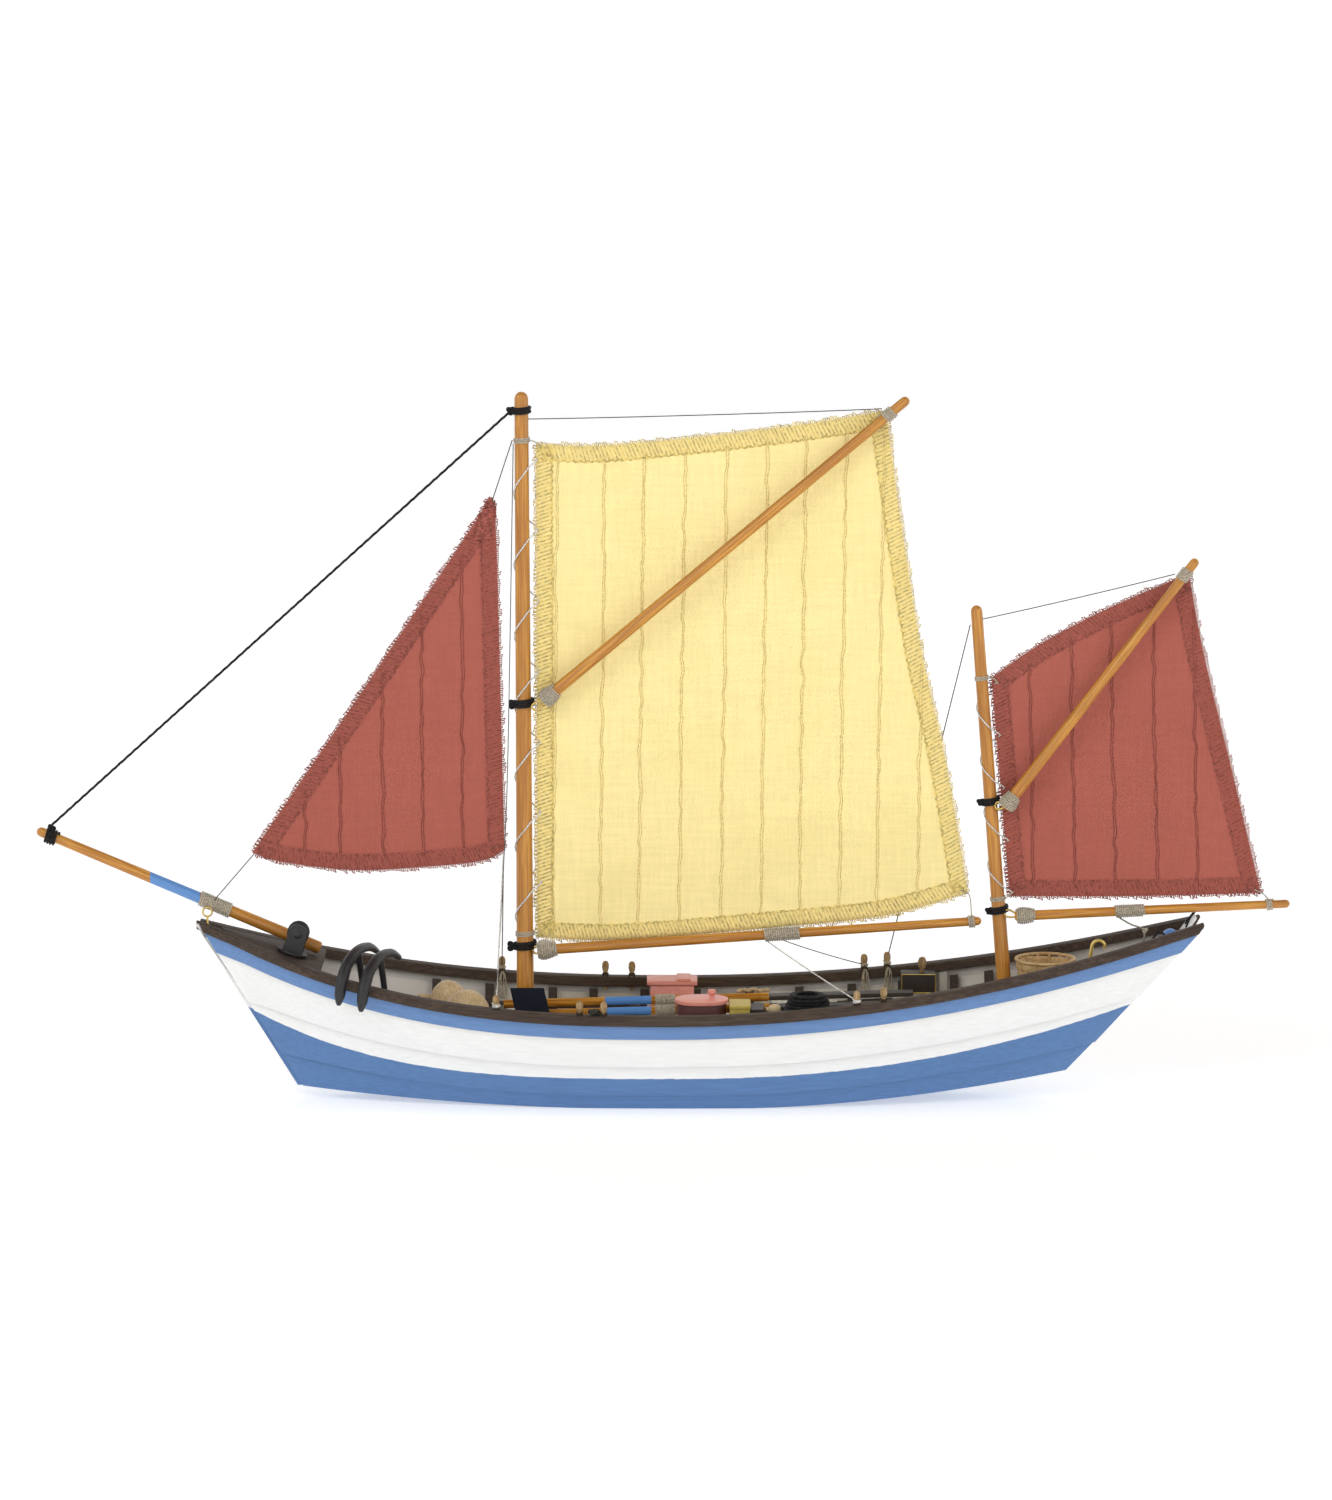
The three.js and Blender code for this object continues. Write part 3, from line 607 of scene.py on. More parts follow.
def dress_cad():
    """Each CAD piece keeps its shape and gets a material, smooth shading, and rounded edges where
    its slot is listed in EDGES.
    """
    for name, obj in frame["nodes"].items():
        slot = SUBPARTS[name]
        if name in SPARS:
            spar = SPARS[name]
            angle = math.atan2(spar.along.z, spar.along.x)
            material = wood(f"spar_{name}", SPAR_LIGHT, SPAR_DARK, angle,
                            bands=SPAR_BANDS.get(name, ()))
        elif slot == "oar_wood":
            material = FINISH.get(slot) or wood(slot, SPAR_LIGHT, shade(SPAR_DARK, 0.8), 0.0, 0.5,
                                                OAR_BANDS, 0.0, 0.12)
            FINISH[slot] = material
        else:
            material = BAILER_WOOD if name.startswith("bailer") else FINISH[slot]
        obj.data.materials.clear()
        obj.data.materials.append(material)
        weld = obj.modifiers.new("weld", "WELD")
        weld.merge_threshold = 1e-6
        if slot in EDGES:
            add_bevel(obj, EDGES[slot])
        obj.data.shade_smooth()
        split = obj.modifiers.new("shade", "EDGE_SPLIT")
        split.split_angle = math.radians(32)
        split.use_edge_sharp = False


dress_cad()


# ------------------------------------------------------------------ sails
HEM = 7.0              # width of the overlocked hem
STITCH = 1.7           # its pitch along the edge
SAIL_SKIN = 0.5        # thickness of the cloth


def outline_of(node):
    """The outline of a flat CAD sail, as (x, z) points in order."""
    shell = bmesh.new()
    shell.from_mesh(frame["nodes"][node].data)
    bmesh.ops.remove_doubles(shell, verts=shell.verts, dist=1e-6)
    low = min(v.co.y for v in shell.verts)
    front = {f for f in shell.faces if all(abs(v.co.y - low) < 1e-6 for v in f.verts)}
    following = {}
    for face in front:
        for loop in face.loops:
            if not any(f in front for f in loop.edge.link_faces if f is not face):
                following[loop.vert.index] = loop.link_loop_next.vert.index
    shell.verts.ensure_lookup_table()
    start = next(iter(following))
    order, at = [], start
    while not order or at != start:
        order.append((shell.verts[at].co.x / MM, shell.verts[at].co.z / MM))
        at = following[at]
    shell.free()
    return order


def arc_points(points, count):
    """count + 1 points evenly along a smooth curve."""
    line = smooth_line([(x, 0, z) for x, z in points], 0.8)
    steps = np.array([0] + [(b - a).length for a, b in zip(line, line[1:])]).cumsum()
    at = np.linspace(0, steps[-1], count + 1)
    return [(float(np.interp(s, steps, [p.x for p in line])),
             float(np.interp(s, steps, [p.z for p in line]))) for s in at]


class Sail:
    """A sail grid between its four edges, with a slight belly away from its spars."""

    def __init__(self, node, y, belly, seed):
        self.node, self.y, self.belly, self.seed = node, y, belly, seed
        self.outline = outline_of(node)
        pick = self.outline.index
        tack = pick(min(self.outline, key=lambda p: p[0] + p[1]))
        throat = pick(max(self.outline, key=lambda p: p[1] - p[0]))
        peak = pick(max(self.outline, key=lambda p: p[0] + p[1]))
        clew = pick(max(self.outline, key=lambda p: p[0] - p[1]))
        if node == "jib":
            throat = peak = pick(max(self.outline, key=lambda p: p[1]))
            tack = pick(min(self.outline))
        self.corners = {"tack": tack, "throat": throat, "peak": peak, "clew": clew}
        self.columns, self.rows = 90, 100
        self.foot = arc_points(self.run("tack", "clew"), self.columns)
        self.head = arc_points(self.run("throat", "peak"), self.columns)
        self.luff = arc_points(self.run("tack", "throat"), self.rows)
        self.leech = arc_points(self.run("clew", "peak"), self.rows)

    def run(self, first, last):
        """The outline from one corner to another, the way that meets no third corner."""
        a, b = self.corners[first], self.corners[last]
        if a == b:
            return [self.outline[a], self.outline[a]]
        count = len(self.outline)
        ways = []
        for step in (1, -1):
            way = [a]
            while way[-1] != b:
                way.append((way[-1] + step) % count)
            ways.append(way)
        others = set(self.corners.values()) - {a, b}
        way = next(w for w in ways if not others & set(w))
        return [self.outline[i] for i in way]

    def depth(self, u, v, x, z):
        """How far the cloth stands off its flat plane, to starboard."""
        hollow = self.belly * math.sin(math.pi * u) ** 0.8 * math.sin(math.pi * v) ** 0.8
        place = Vector((x * 0.022, self.seed, z * 0.016))
        creases = 0.9 * noise(place) * min(1, 6 * u * (1 - u) + 0.15)
        flutter = 0.28 * noise(Vector((x * 0.11, self.seed, z * 0.05)))
        return self.y + max(0.0, hollow + creases) + flutter

    def point(self, i, j):
        u, v = i / self.columns, j / self.rows
        low, high, fore, aft = self.foot[i], self.head[i], self.luff[j], self.leech[j]
        c00, c10, c01, c11 = self.foot[0], self.foot[-1], self.head[0], self.head[-1]
        x, z = ((1 - v) * low[k] + v * high[k] + (1 - u) * fore[k] + u * aft[k]
                - (1 - u) * (1 - v) * c00[k] - u * (1 - v) * c10[k] - (1 - u) * v * c01[k]
                - u * v * c11[k] for k in (0, 1))
        return x, self.depth(u, v, x, z), z

    def build(self):
        wide = self.columns + 1
        verts = [self.point(i, j) for j in range(self.rows + 1) for i in range(wide)]
        faces = [[j * wide + i, j * wide + i + 1, (j + 1) * wide + i + 1, (j + 1) * wide + i]
                 for j in range(self.rows) for i in range(self.columns)]
        self.tree = BVHTree.FromPolygons(verts, faces)
        return verts, faces

    def surface(self, x, z):
        """Y of the cloth nearest to a point of its plane."""
        return self.tree.find_nearest(Vector((x, self.y, z)))[0].y

    def width_at(self, p, side, wide):
        """As much of a hem's width as lies on the cloth, inwards from an edge point."""
        for share in (1.0, 0.8, 0.6, 0.45, 0.3, 0.2):
            q = p + side * wide * share
            near = self.tree.find_nearest(Vector((q.x, self.y, q.z)))[0]
            if math.hypot(near.x - q.x, near.z - q.z) < 0.35:
                break
        return wide * share

    def border(self):
        """Points every stitch round the whole edge, with inward directions."""
        loop = self.foot + self.leech[1:] + self.head[::-1][1:] + self.luff[::-1][1:-1]
        line = [Vector((x, 0, z)) for x, z in loop]
        line = [p for p, q in zip(line, line[1:] + line[:1]) if (q - p).length > 0.05]
        line.append(line[0])
        steps = np.array([0] + [(b - a).length for a, b in zip(line, line[1:])]).cumsum()
        count = round(steps[-1] / STITCH)
        points = []
        for k in range(count):
            s = steps[-1] * k / count
            points.append(Vector((float(np.interp(s, steps, [p.x for p in line])), 0,
                                  float(np.interp(s, steps, [p.z for p in line])))))
        inward = []
        for k in range(count):
            along = (points[(k + 1) % count] - points[k - 1]).normalized()
            inward.append(Vector((-along.z, 0, along.x)))
        return points, inward


def overlock(sail, radius=0.34):
    """Slanted threads over both faces of the hem, looped round the edge."""
    points, inward = sail.border()
    count = len(points)
    path = []
    for k in range(count):
        after = points[(k + 1) % count]
        side = inward[k]
        wide = sail.width_at(points[k], side, HEM) + chance.uniform(-0.5, 0.5)
        lean = (after - points[k]) * 1.5
        loop = 0.4 + chance.uniform(0, 1.5)
        for across, slide, lift in (
                (wide, 0.0, -1), (wide * 0.72, 0.25, -1.15), (wide * 0.4, 0.55, -1.05),
                (wide * 0.12, 0.8, -1.2), (-loop, 1.0, -0.2), (-loop * 0.7, 0.55, 0.6),
                (wide * 0.15, 0.5, 1.2), (wide * 0.5, 0.75, 1.1), (wide * 0.95, 1.1, 1)):
            p = points[k] + side * across + lean * (slide - 0.5)
            p += Vector((chance.uniform(-1, 1), 0, chance.uniform(-1, 1))) * 0.12
            p.y = sail.surface(p.x, p.z) + lift * (SAIL_SKIN / 2 + radius * 0.55)
            path.append(p)
    return tube(path, radius, 4, ring=True)


def chain_line(sail, radius=0.36):
    """The chain stitch along the inside of the hem, on both faces."""
    points, inward = sail.border()
    parts = []
    for face in (-1, 1):
        path = []
        for k, (p, side) in enumerate(zip(points, inward)):
            q = p + side * (sail.width_at(p, side, HEM) + 0.35 * (-1) ** k)
            q.y = sail.surface(q.x, q.z) + face * (SAIL_SKIN / 2 + radius * 0.5)
            path.append(q)
        parts.append(tube(path, radius, 4, ring=True))
    return join(parts)


def crossings(outline, x0, lean):
    """Lowest and highest height where a leaning line meets the outline."""
    heights = []
    for (xa, za), (xb, zb) in zip(outline, outline[1:] + outline[:1]):
        fa, fb = xa - x0 - lean * za, xb - x0 - lean * zb
        if fa * fb < 0:
            heights.append(za + (zb - za) * fa / (fa - fb))
    return min(heights), max(heights)


def seam_lines(sail, places, lean, radius=0.19, apart=0.6):
    """Double sewn lines, wavy, on both faces. places are X at the height of the sail's foot."""
    parts = []
    base = min(z for _, z in sail.outline)
    for number, place in enumerate(places):
        low, high = crossings(sail.outline, place - lean * base, lean)
        for twin in (-1, 1):
            for face in (-1, 1):
                path = []
                for k in range(int((high - low - HEM) / 1.2)):
                    z = low + HEM / 2 + 1.2 * k
                    wave = 0.95 * noise(Vector((number * 7.3, z * 0.17, 0.5)))
                    split = apart * (0.75 + 0.6 * noise(Vector((number * 3.1, z * 0.12, twin))))
                    x = place + lean * (z - base) + wave + twin * split
                    y = sail.surface(x, z) + face * (SAIL_SKIN / 2 + radius * 0.35)
                    path.append((x, y, z))
                parts.append(tube(path, radius, 4))
    return join(parts)


SAILS = {
    "main_sail": {"y": 0.75, "belly": 4.5, "seed": 1.7, "slot": "yellow_cloth", "body": "main_rig",
                  "thread": YELLOW_THREAD, "seam": YELLOW_SEAM, "lean": 0.012,
                  "rests": ["main_mast", "main_boom"],
                  "seams": [-57.6, -36.2, -18.9, -0.5, 18.3, 36.4, 53.6, 71.6, 88.6, 107]},
    "mizzen_sail": {"y": 0.75, "belly": 2.6, "seed": 5.2, "slot": "red_cloth",
                    "body": "mizzen_rig", "thread": RED_THREAD, "seam": RED_SEAM, "lean": -0.03,
                    "rests": ["mizzen_mast", "mizzen_boom"],
                    "seams": [160, 179, 197, 216, 234]},
    "jib": {"y": 0.0, "belly": 2.2, "seed": 9.1, "slot": "red_cloth", "body": "jib_rig",
            "thread": RED_THREAD, "seam": RED_SEAM, "lean": 0.0, "rests": ["main_mast", "bowsprit"],
            "seams": [-169, -153, -134, -116, -98]},
}


def make_sail(name, facts):
    sail = Sail(name, facts["y"], facts["belly"], facts["seed"])
    cloth_piece = piece(f"{name}_cloth", sail.build(), facts["slot"], None)
    thick = cloth_piece.modifiers.new("thickness", "SOLIDIFY")
    thick.thickness = SAIL_SKIN * MM
    thick.offset = 0
    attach(cloth_piece, facts["body"])
    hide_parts(name)
    shapes = {"hem": overlock(sail), "hem_line": chain_line(sail),
              "seams": seam_lines(sail, facts["seams"], facts["lean"])}
    trim = [piece(f"{name}_{word}", shape, facts["slot"], facts["body"],
                  facts["seam" if word == "seams" else "thread"])
            for word, shape in shapes.items()]
    return sail


for name, facts in SAILS.items():
    make_sail(name, facts)


def jib_head():
    """Loops of the hem thread crowded round the head of the jib."""
    head = Vector((-85.3, 0, 268.4))
    path = []
    for k in range(64):
        drop = 0.21 * k
        half = 2.4 + 0.9 * min(1, k / 20) + chance.uniform(0, 0.7)
        centre = head + Vector((-0.22 * drop, 0, -drop + chance.uniform(-0.5, 0.5)))
        for share, lift in ((-1, 0), (-0.5, -0.75), (0.5, -0.75), (1, 0), (0.4, 0.75),
                            (-0.4, 0.75)):
            slant = 0.5 * share
            path.append(centre + Vector((half * share, lift, slant)))
    return tube(path, 0.32, 4)


piece("jib_head_loops", jib_head(), "red_cloth", "jib_rig", RED_THREAD)


# ------------------------------------------------------------------ cords
def cord(name, points, diameter, slot, body, finish=None, blend=None, lobes=3, sag=0.0,
         replaces=(), step=1.2):
    """A cord along a smooth line through points. blend is (body a, body b) where it crosses a
    joint; such a cord is left on no body, with its place baked into its mesh."""
    line = smooth_line(points, step)
    if sag:
        count = len(line) - 1
        line = [p - Vector((0, 0, sag * math.sin(math.pi * i / count)))
                for i, p in enumerate(line)]
    sides = 9 if lobes else 6
    shape = tube(line, diameter / 2, sides, lobes=lobes, pitch=max(2.4, 3.5 * diameter))
    obj = piece(name, shape, slot, None if blend else body, finish)
    if replaces:
        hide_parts(*replaces)
    if blend:
        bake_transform(obj)
    return obj


def winding(start, end, radius, cord_size, bulge=0.0, per_turn=12):
    """A cord wound turn beside turn round a spar, from one axis point to another."""
    start, end = Vector(start), Vector(end)
    axis = end - start
    along = axis.normalized()
    side = along.orthogonal().normalized()
    up = along.cross(side)
    turns = axis.length / cord_size
    count = max(8, int(turns * per_turn))
    path = []
    for k in range(count + 1):
        t = k / count
        angle = 2 * math.pi * turns * t
        r = radius + cord_size * 0.42 + bulge * math.sin(math.pi * t ** 0.6)
        r += 0.1 * noise(Vector((k * 0.31, radius, cord_size)))
        path.append(start + axis * t + (side * math.cos(angle) + up * math.sin(angle)) * r)
    return tube(path, cord_size * 0.46, 6)


def knot(at, size, cord_size, turn=0.0):
    """A tight overhand knot, as a trefoil."""
    path = []
    for k in range(42):
        t = 2 * math.pi * k / 42
        p = Vector((math.sin(t) + 2 * math.sin(2 * t), -math.sin(3 * t),
                    math.cos(t) - 2 * math.cos(2 * t))) * (size / 3)
        path.append(Matrix.Rotation(turn, 3, "Y") @ p + Vector(at))
    return tube(path, cord_size / 2, 7, ring=True)


def whipping(body, name, spar, low, high, cord_size=1.0, bulge=0.0, slot="pale_cord"):
    """A winding round a spar. low and high are heights on a mast, and x on the other spars."""
    axis = Z_AXIS if spar.endswith("mast") else X_AXIS
    a, radius = SPARS[spar].at(axis, low)
    b = SPARS[spar].at(axis, high)[0]
    return piece(name, winding(a, b, radius, cord_size, bulge), slot, body)


def tie(name, points, size, body, slot="pale_cord", finish=None):
    """A short lashing, built as a plain tube on its body. A short lashing that is too
    short to count as a cord.
    """
    return piece(name, tube(smooth_line(points, 0.6), size / 2, 6), slot, body, finish)


def thimble(name, heel, mast_point, body):
    """A brass teardrop eye between a spar's heel and its mast."""
    heel, mast_point = Vector(heel), Vector(mast_point)
    along = (mast_point - heel).normalized()
    across = along.cross(Vector((0, 1, 0))).normalized()
    reach = (mast_point - heel).length
    path = []
    for k in range(28):
        t = 2 * math.pi * k / 28
        wide = 2.3 * math.sin(t) * (0.62 - 0.38 * math.cos(t))
        path.append(heel + along * (reach * (0.5 - 0.5 * math.cos(t))) + across * wide)
    return piece(name, tube(path, 0.5, 8, ring=True), "brass", body)


def lacing(name, mast, high, low, pitch, turn_way, body, size=0.75):
    """A cord spiralling down the mast and out to the sail's luff at each turn."""
    count = int((high - low) / pitch * 22)
    path = []
    for k in range(count + 1):
        z = high - (high - low) * k / count
        centre, radius = SPARS[mast].at(Z_AXIS, z)
        angle = 2 * math.pi * (high - z) / pitch
        reach = radius + size * 0.6 + 3.3 * max(0.0, math.cos(angle)) ** 6
        path.append(centre + Vector((reach * math.cos(angle),
                                     turn_way * (radius + size * 0.6) * math.sin(angle), 0)))
    shape = tube(path, size / 2, 8, lobes=3, pitch=2.2)
    obj = piece(name, shape, "pale_cord", body, WHITE_THREAD)
    return obj


def on(spar, axis, value):
    return SPARS[spar].at(axis, value)[0]


# Standing lines, along the routes of the CAD solids that they replace.
FORESTAY = [(-283.5, 0, 124.8), (-75.2, 0, 312.6)]
MIZZEN_STAY = [(130.2, 0.9, 216), (95.6, 40.2, 56.5)]
cord("forestay_rope", FORESTAY, 1.3, "black_cord", "hull", replaces=["forestay"], step=0.7)
cord("mizzen_stay_line", MIZZEN_STAY, 0.5, "pale_cord", "hull", GREY_THREAD, lobes=0,
     replaces=["mizzen_stay"])

# The main rig.
cord("main_peak_line", [(-67.6, 0, 308.7), (90, -1.2, 313.4)], 0.5, "pale_cord", "main_rig",
     GREY_THREAD, lobes=0, sag=0.5)
lacing("main_lacing", "main_mast", 291, 77, 32, -1, "main_rig")
for row in (
        ("throat_band", "main_mast", 297.9, 300.3, 0.8),
        ("main_tack_band", "main_mast", 74.2, 76.4, 0.75),
        ("main_snotter", "main_mast", 178.4, 182.6, 2.0, 0.0, "black_cord"),
        ("main_boom_collar", "main_mast", 67.8, 72, 2.0, 0.0, "black_cord"),
        ("main_sprit_heel", "main_sprit", -61.4, -55.4, 0.95, 1.1),
        ("main_sprit_tip", "main_sprit", 91.2, 94.8),
        ("main_boom_heel", "main_boom", -64.4, -55.8, 1.0, 1.5),
        ("main_sheet_whipping", "main_boom", 38.2, 54.2),
        ("main_boom_end", "main_boom", 130.2, 133.2)):
    whipping("main_rig", *row)
whipping("hull", "masthead_band", "main_mast", 310.6, 314, 1.7, slot="black_cord")
for name, body, shape in (
        ("masthead_knot", "hull", knot((-75.5, -1.5, 312.6), 1.6, 1.4)),
        ("main_snotter_knot", "main_rig", knot((-75, -2.4, 180.4), 1.8, 1.5, 0.4)),
        ("main_boom_knot", "main_rig", knot((-76, -2.4, 69.9), 1.9, 1.6, 0.5))):
    piece(name, shape, "black_cord", body)
thimble("main_sprit_thimble", on("main_sprit", X_AXIS, -60.5), (-66.2, -4, 178.6), "main_rig")
thimble("main_boom_thimble", on("main_boom", X_AXIS, -61.5), (-66.4, -3, 68.2), "main_rig")
for name, points in (
        ("throat_lashing", [(-67.3, -1.5, 299.5), (-64.5, -1.8, 298.5), (-61.8, -0.2, 296.4)]),
        ("main_clew_line", [(126.5, 0, 95.2), (130.6, -0.8, 93.2), (131.5, -3.6, 86),
                            (131.6, -4.5, 84)]),
        ("main_tack_line", [(-62.8, -0.6, 76.4), (-66, -2.2, 75.2)]),
        ("main_peak_lashing", [(87.6, -0.4, 309.5), (91.4, -2.2, 312.4), (93, -4.6, 313.6)])):
    tie(name, points, 0.6, "main_rig")

# The mizzen rig.
cord("mizzen_peak_line", [(135.6, 0, 218.7), (221.4, -3, 239.4)], 0.5, "pale_cord",
     "mizzen_rig", GREY_THREAD, lobes=0, sag=0.4)
lacing("mizzen_lacing", "mizzen_mast", 190, 94, 24, 1, "mizzen_rig", 0.7)
for row in (
        ("mizzen_throat_band", "mizzen_mast", 191, 193, 0.65),
        ("mizzen_tack_band", "mizzen_mast", 90.4, 92.4, 0.65),
        ("mizzen_snotter", "mizzen_mast", 134, 137.6, 1.8, 0.0, "black_cord"),
        ("mizzen_boom_collar", "mizzen_mast", 84.3, 87.9, 1.8, 0.0, "black_cord"),
        ("mizzen_sprit_heel", "mizzen_sprit", 146.2, 150.4, 0.9, 1.0),
        ("mizzen_sprit_tip", "mizzen_sprit", 223.8, 227.2, 0.95),
        ("mizzen_boom_heel", "mizzen_boom", 152, 160, 0.95, 0.9),
        ("mizzen_sheet_whipping", "mizzen_boom", 196.6, 209.4, 0.95),
        ("mizzen_boom_end", "mizzen_boom", 264.6, 267.6, 0.95)):
    whipping("mizzen_rig", *row)
for name, place in (("mizzen_snotter_knot", (135.2, -1.5, 135.8)),
                    ("mizzen_boom_knot", (139.4, -1.5, 86))):
    piece(name, knot(place, 1.3, 1.2), "black_cord", "mizzen_rig")
thimble("mizzen_sprit_thimble", on("mizzen_sprit", X_AXIS, 147.2), (141.8, -3.4, 134.2),
        "mizzen_rig")
thimble("mizzen_boom_thimble", on("mizzen_boom", X_AXIS, 152.6), (146.6, -2.6, 85.4),
        "mizzen_rig")
for name, points in (
        ("mizzen_clew_line", [(259.4, 0, 95.4), (263.4, -0.8, 93.6), (265.4, -3.4, 91.6)]),
        ("mizzen_tack_line", [(150.6, -0.4, 94.4), (146.8, -2, 91.6)]),
        ("mizzen_throat_lashing", [(138, -1.6, 192.2), (141, -1.4, 191.8),
                                   (142.8, -0.2, 189.4)])):
    tie(name, points, 0.6, "mizzen_rig")

# The jib, the bowsprit and the stem head.
cord("jib_halyard", [(-85, 0, 269), (-74.9, 0, 299.3)], 0.5, "pale_cord", "hull", GREY_THREAD,
     lobes=0)
tie("jib_tack_tie", [(-192, 0, 112), (-210.4, 0, 90.6)], 0.5, "hull", finish=GREY_THREAD)
cord("jib_fall", [(-74.4, -3.4, 298), (-77.3, -3.4, 160), (-79.3, -4.5, 110), (-81.2, -30, 70),
                  (-82, -43.2, 58)], 0.45, "pale_cord", "hull", GREY_THREAD, lobes=0)
whipping("hull", "bowsprit_whipping", "bowsprit", -217, -203.4)
whipping("hull", "forestay_knot", "bowsprit", -286, -281, 1.3, 0.5, "black_cord")
piece("forestay_hitch", knot((-283.4, -1, 123.6), 1.6, 1.3, 0.6), "black_cord", "hull")


def stem_eye():
    ring = [(-213.6 + 2.1 * math.cos(a), 0, 85.2 + 2.1 * math.sin(a))
            for a in (2 * math.pi * k / 24 for k in range(24))]
    shank = lathe([[0, 0], [0.8, 0], [0.55, 1.2], [0.5, 4.6], [0, 4.6]], (-213.6, 0, 79))
    return join([tube(ring, 0.45, 8, ring=True), shank])


piece("stem_eye", stem_eye(), "brass", "hull")


def stem_beak():
    """The pointed end of the rail in front of the stem."""
    low, high = [], []
    top = rail(-212, STARBOARD).z
    for x, half in ((-218.6, 0.5), (-214, 2.5), (-212, 3.6)):
        rise = (-212 - x) * 0.34
        low += [(x, -half, top + rise - 4.6), (x, half, top + rise - 4.6)]
        high += [(x, -half, top + rise - 0.4), (x, half, top + rise - 0.4)]
    verts = low + high
    faces = [[0, 1, 3, 5, 4, 2], [6, 8, 10, 11, 9, 7], [0, 6, 7, 1], [4, 5, 11, 10],
             [0, 2, 8, 6], [2, 4, 10, 8], [1, 7, 9, 3], [3, 9, 11, 5]]
    return verts, faces


piece("stem_beak", stem_beak(), "gunwale_brown", "hull", smooth=30, bevel=0.4)


# ------------------------------------------------------------------ pins and the lines on them
PINS = {PORT: [-82, -44.8, -34, 78.8, 90.8], STARBOARD: [-81.8, -34.2, -22, 84.8, 95.3]}
PIN_PROFILE = [[0, -6.8], [0.6, -6.6], [0.8, -5], [0.85, 1.2], [0.9, 1.6], [1.3, 2.6],
               [1.62, 4.2], [1.55, 5.8], [1.0, 6.9], [0, 7.2]]
PIN_COLLAR = [[0, 0], [1.5, 0], [1.62, 0.7], [1.45, 1.5], [0, 1.5]]
PIN_LEAN = 0.42        # how far a pin leans outboard, following the planking


def hitch(at, size=0.5, loops=4):
    """Turns of a belayed line round a pin's neck, with one bight down its side."""
    path = []
    for k in range(loops * 12 + 1):
        angle = 2 * math.pi * k / 12
        r = 1.5 + 0.25 * math.sin(k * 0.9)
        path.append(at + Vector((r * math.cos(angle), r * math.sin(angle),
                                 0.8 + 0.75 * math.sin(angle * 0.5) + k * 0.02)))
    return tube(path, size / 2, 6)


def hank(at, size, drop):
    """Coiled spare line hanging from a pin, inside the rail."""
    parts = []
    for turn, wide in ((-0.18, 1.1), (0.0, 1.5), (0.2, 0.9)):
        path = []
        for k in range(20):
            angle = 2 * math.pi * k / 20
            p = Vector((wide * math.cos(angle), 0.5 * turn, drop / 2 * (math.sin(angle) - 1)))
            path.append(at + Matrix.Rotation(turn * 0.5, 3, "Y") @ p)
        parts.append(tube(path, size / 2, 6, ring=True))
    return join(parts)


PIN_TOP = {}
for side, places in PINS.items():
    for number, x in enumerate(places, 1):
        foot = rail(x, side)
        PIN_TOP[(side, x)] = foot
        label = f"{SIDE_WORD[side]}_{number}"
        lean = Vector((0, side * PIN_LEAN, 1)).normalized()
        piece(f"pin_{label}", lathe(PIN_PROFILE, foot, lean, 18), "pale_wood", "hull")
        piece(f"pin_collar_{label}", lathe(PIN_COLLAR, foot, lean, 18), "gunwale_brown", "hull")


def pin_neck(side, x):
    return PIN_TOP[(side, x)] + Vector((0, side * 0.8, 2))


jib_clew = Vector((-79.6, 0.3, 113.4))
cord("jib_sheet_port", [jib_clew, pin_neck(PORT, -82)], 0.7, "pale_cord", None, WHITE_THREAD,
     blend=("jib_rig", "hull"), sag=0.5)
cord("jib_sheet_starboard", [jib_clew, pin_neck(STARBOARD, -81.8)], 0.5, "pale_cord", None,
     GREY_THREAD, blend=("jib_rig", "hull"), lobes=0, sag=0.5)
cord("main_sheet_port", [on("main_boom", X_AXIS, 39.2) - Vector((0, 0, 2.6)),
                         pin_neck(PORT, 78.8)], 0.7, "pale_cord", None, WHITE_THREAD,
     blend=("main_rig", "hull"), sag=0.6)
cord("main_sheet_starboard", [on("main_boom", X_AXIS, 46) - Vector((0, 0, 2.6)),
                              pin_neck(STARBOARD, 84.8)], 0.45, "pale_cord", None, GREY_THREAD,
     blend=("main_rig", "hull"), lobes=0, sag=0.6)
for side, x, size, finish in (
        (PORT, -82, 0.7, WHITE_THREAD), (PORT, 78.8, 0.7, WHITE_THREAD),
        (STARBOARD, -81.8, 0.5, None), (STARBOARD, 84.8, 0.55, None),
        (STARBOARD, 95.3, 0.55, None)):
    label = f"{SIDE_WORD[side]}_{PINS[side].index(x) + 1}"
    piece(f"hitch_{label}", hitch(pin_neck(side, x) - Vector((0, 0, 1.4)), size), "pale_cord",
          "hull", finish)
for x in (-81.8, 84.8, 95.3):
    at = PIN_TOP[(STARBOARD, x)] + Vector((0.4, -4.4, 0.6))
    number = PINS[STARBOARD].index(x) + 1
    piece(f"hank_{number}", hank(at, 0.55, 12), "pale_cord", "hull")

# The mizzen sheet drops to an eye on the centreline near the stern.
sheet_foot = Vector((209.6, -2, 71.5))
cord("mizzen_sheet", [on("mizzen_boom", X_AXIS, 197.6) - Vector((0, 0, 2.4)),
                      Vector((203.5, -2.6, 80)), Vector((209.4, -2, 77.4)), sheet_foot,
                      Vector((208.6, -2, 62))], 0.85, "pale_cord", None, TWINE,
     blend=("mizzen_rig", "hull"))
piece("mizzen_sheet_knot", knot((210, -2, 77), 1.2, 0.7), "pale_cord", "hull")

# ------------------------------------------------------------------ stowed gear
COIL = {"centre": (57.4, -23.8), "low": 39.4, "cord": 1.35, "inner": 4.2, "foot": 11.8,
        "top": 8.2, "layers": 9}


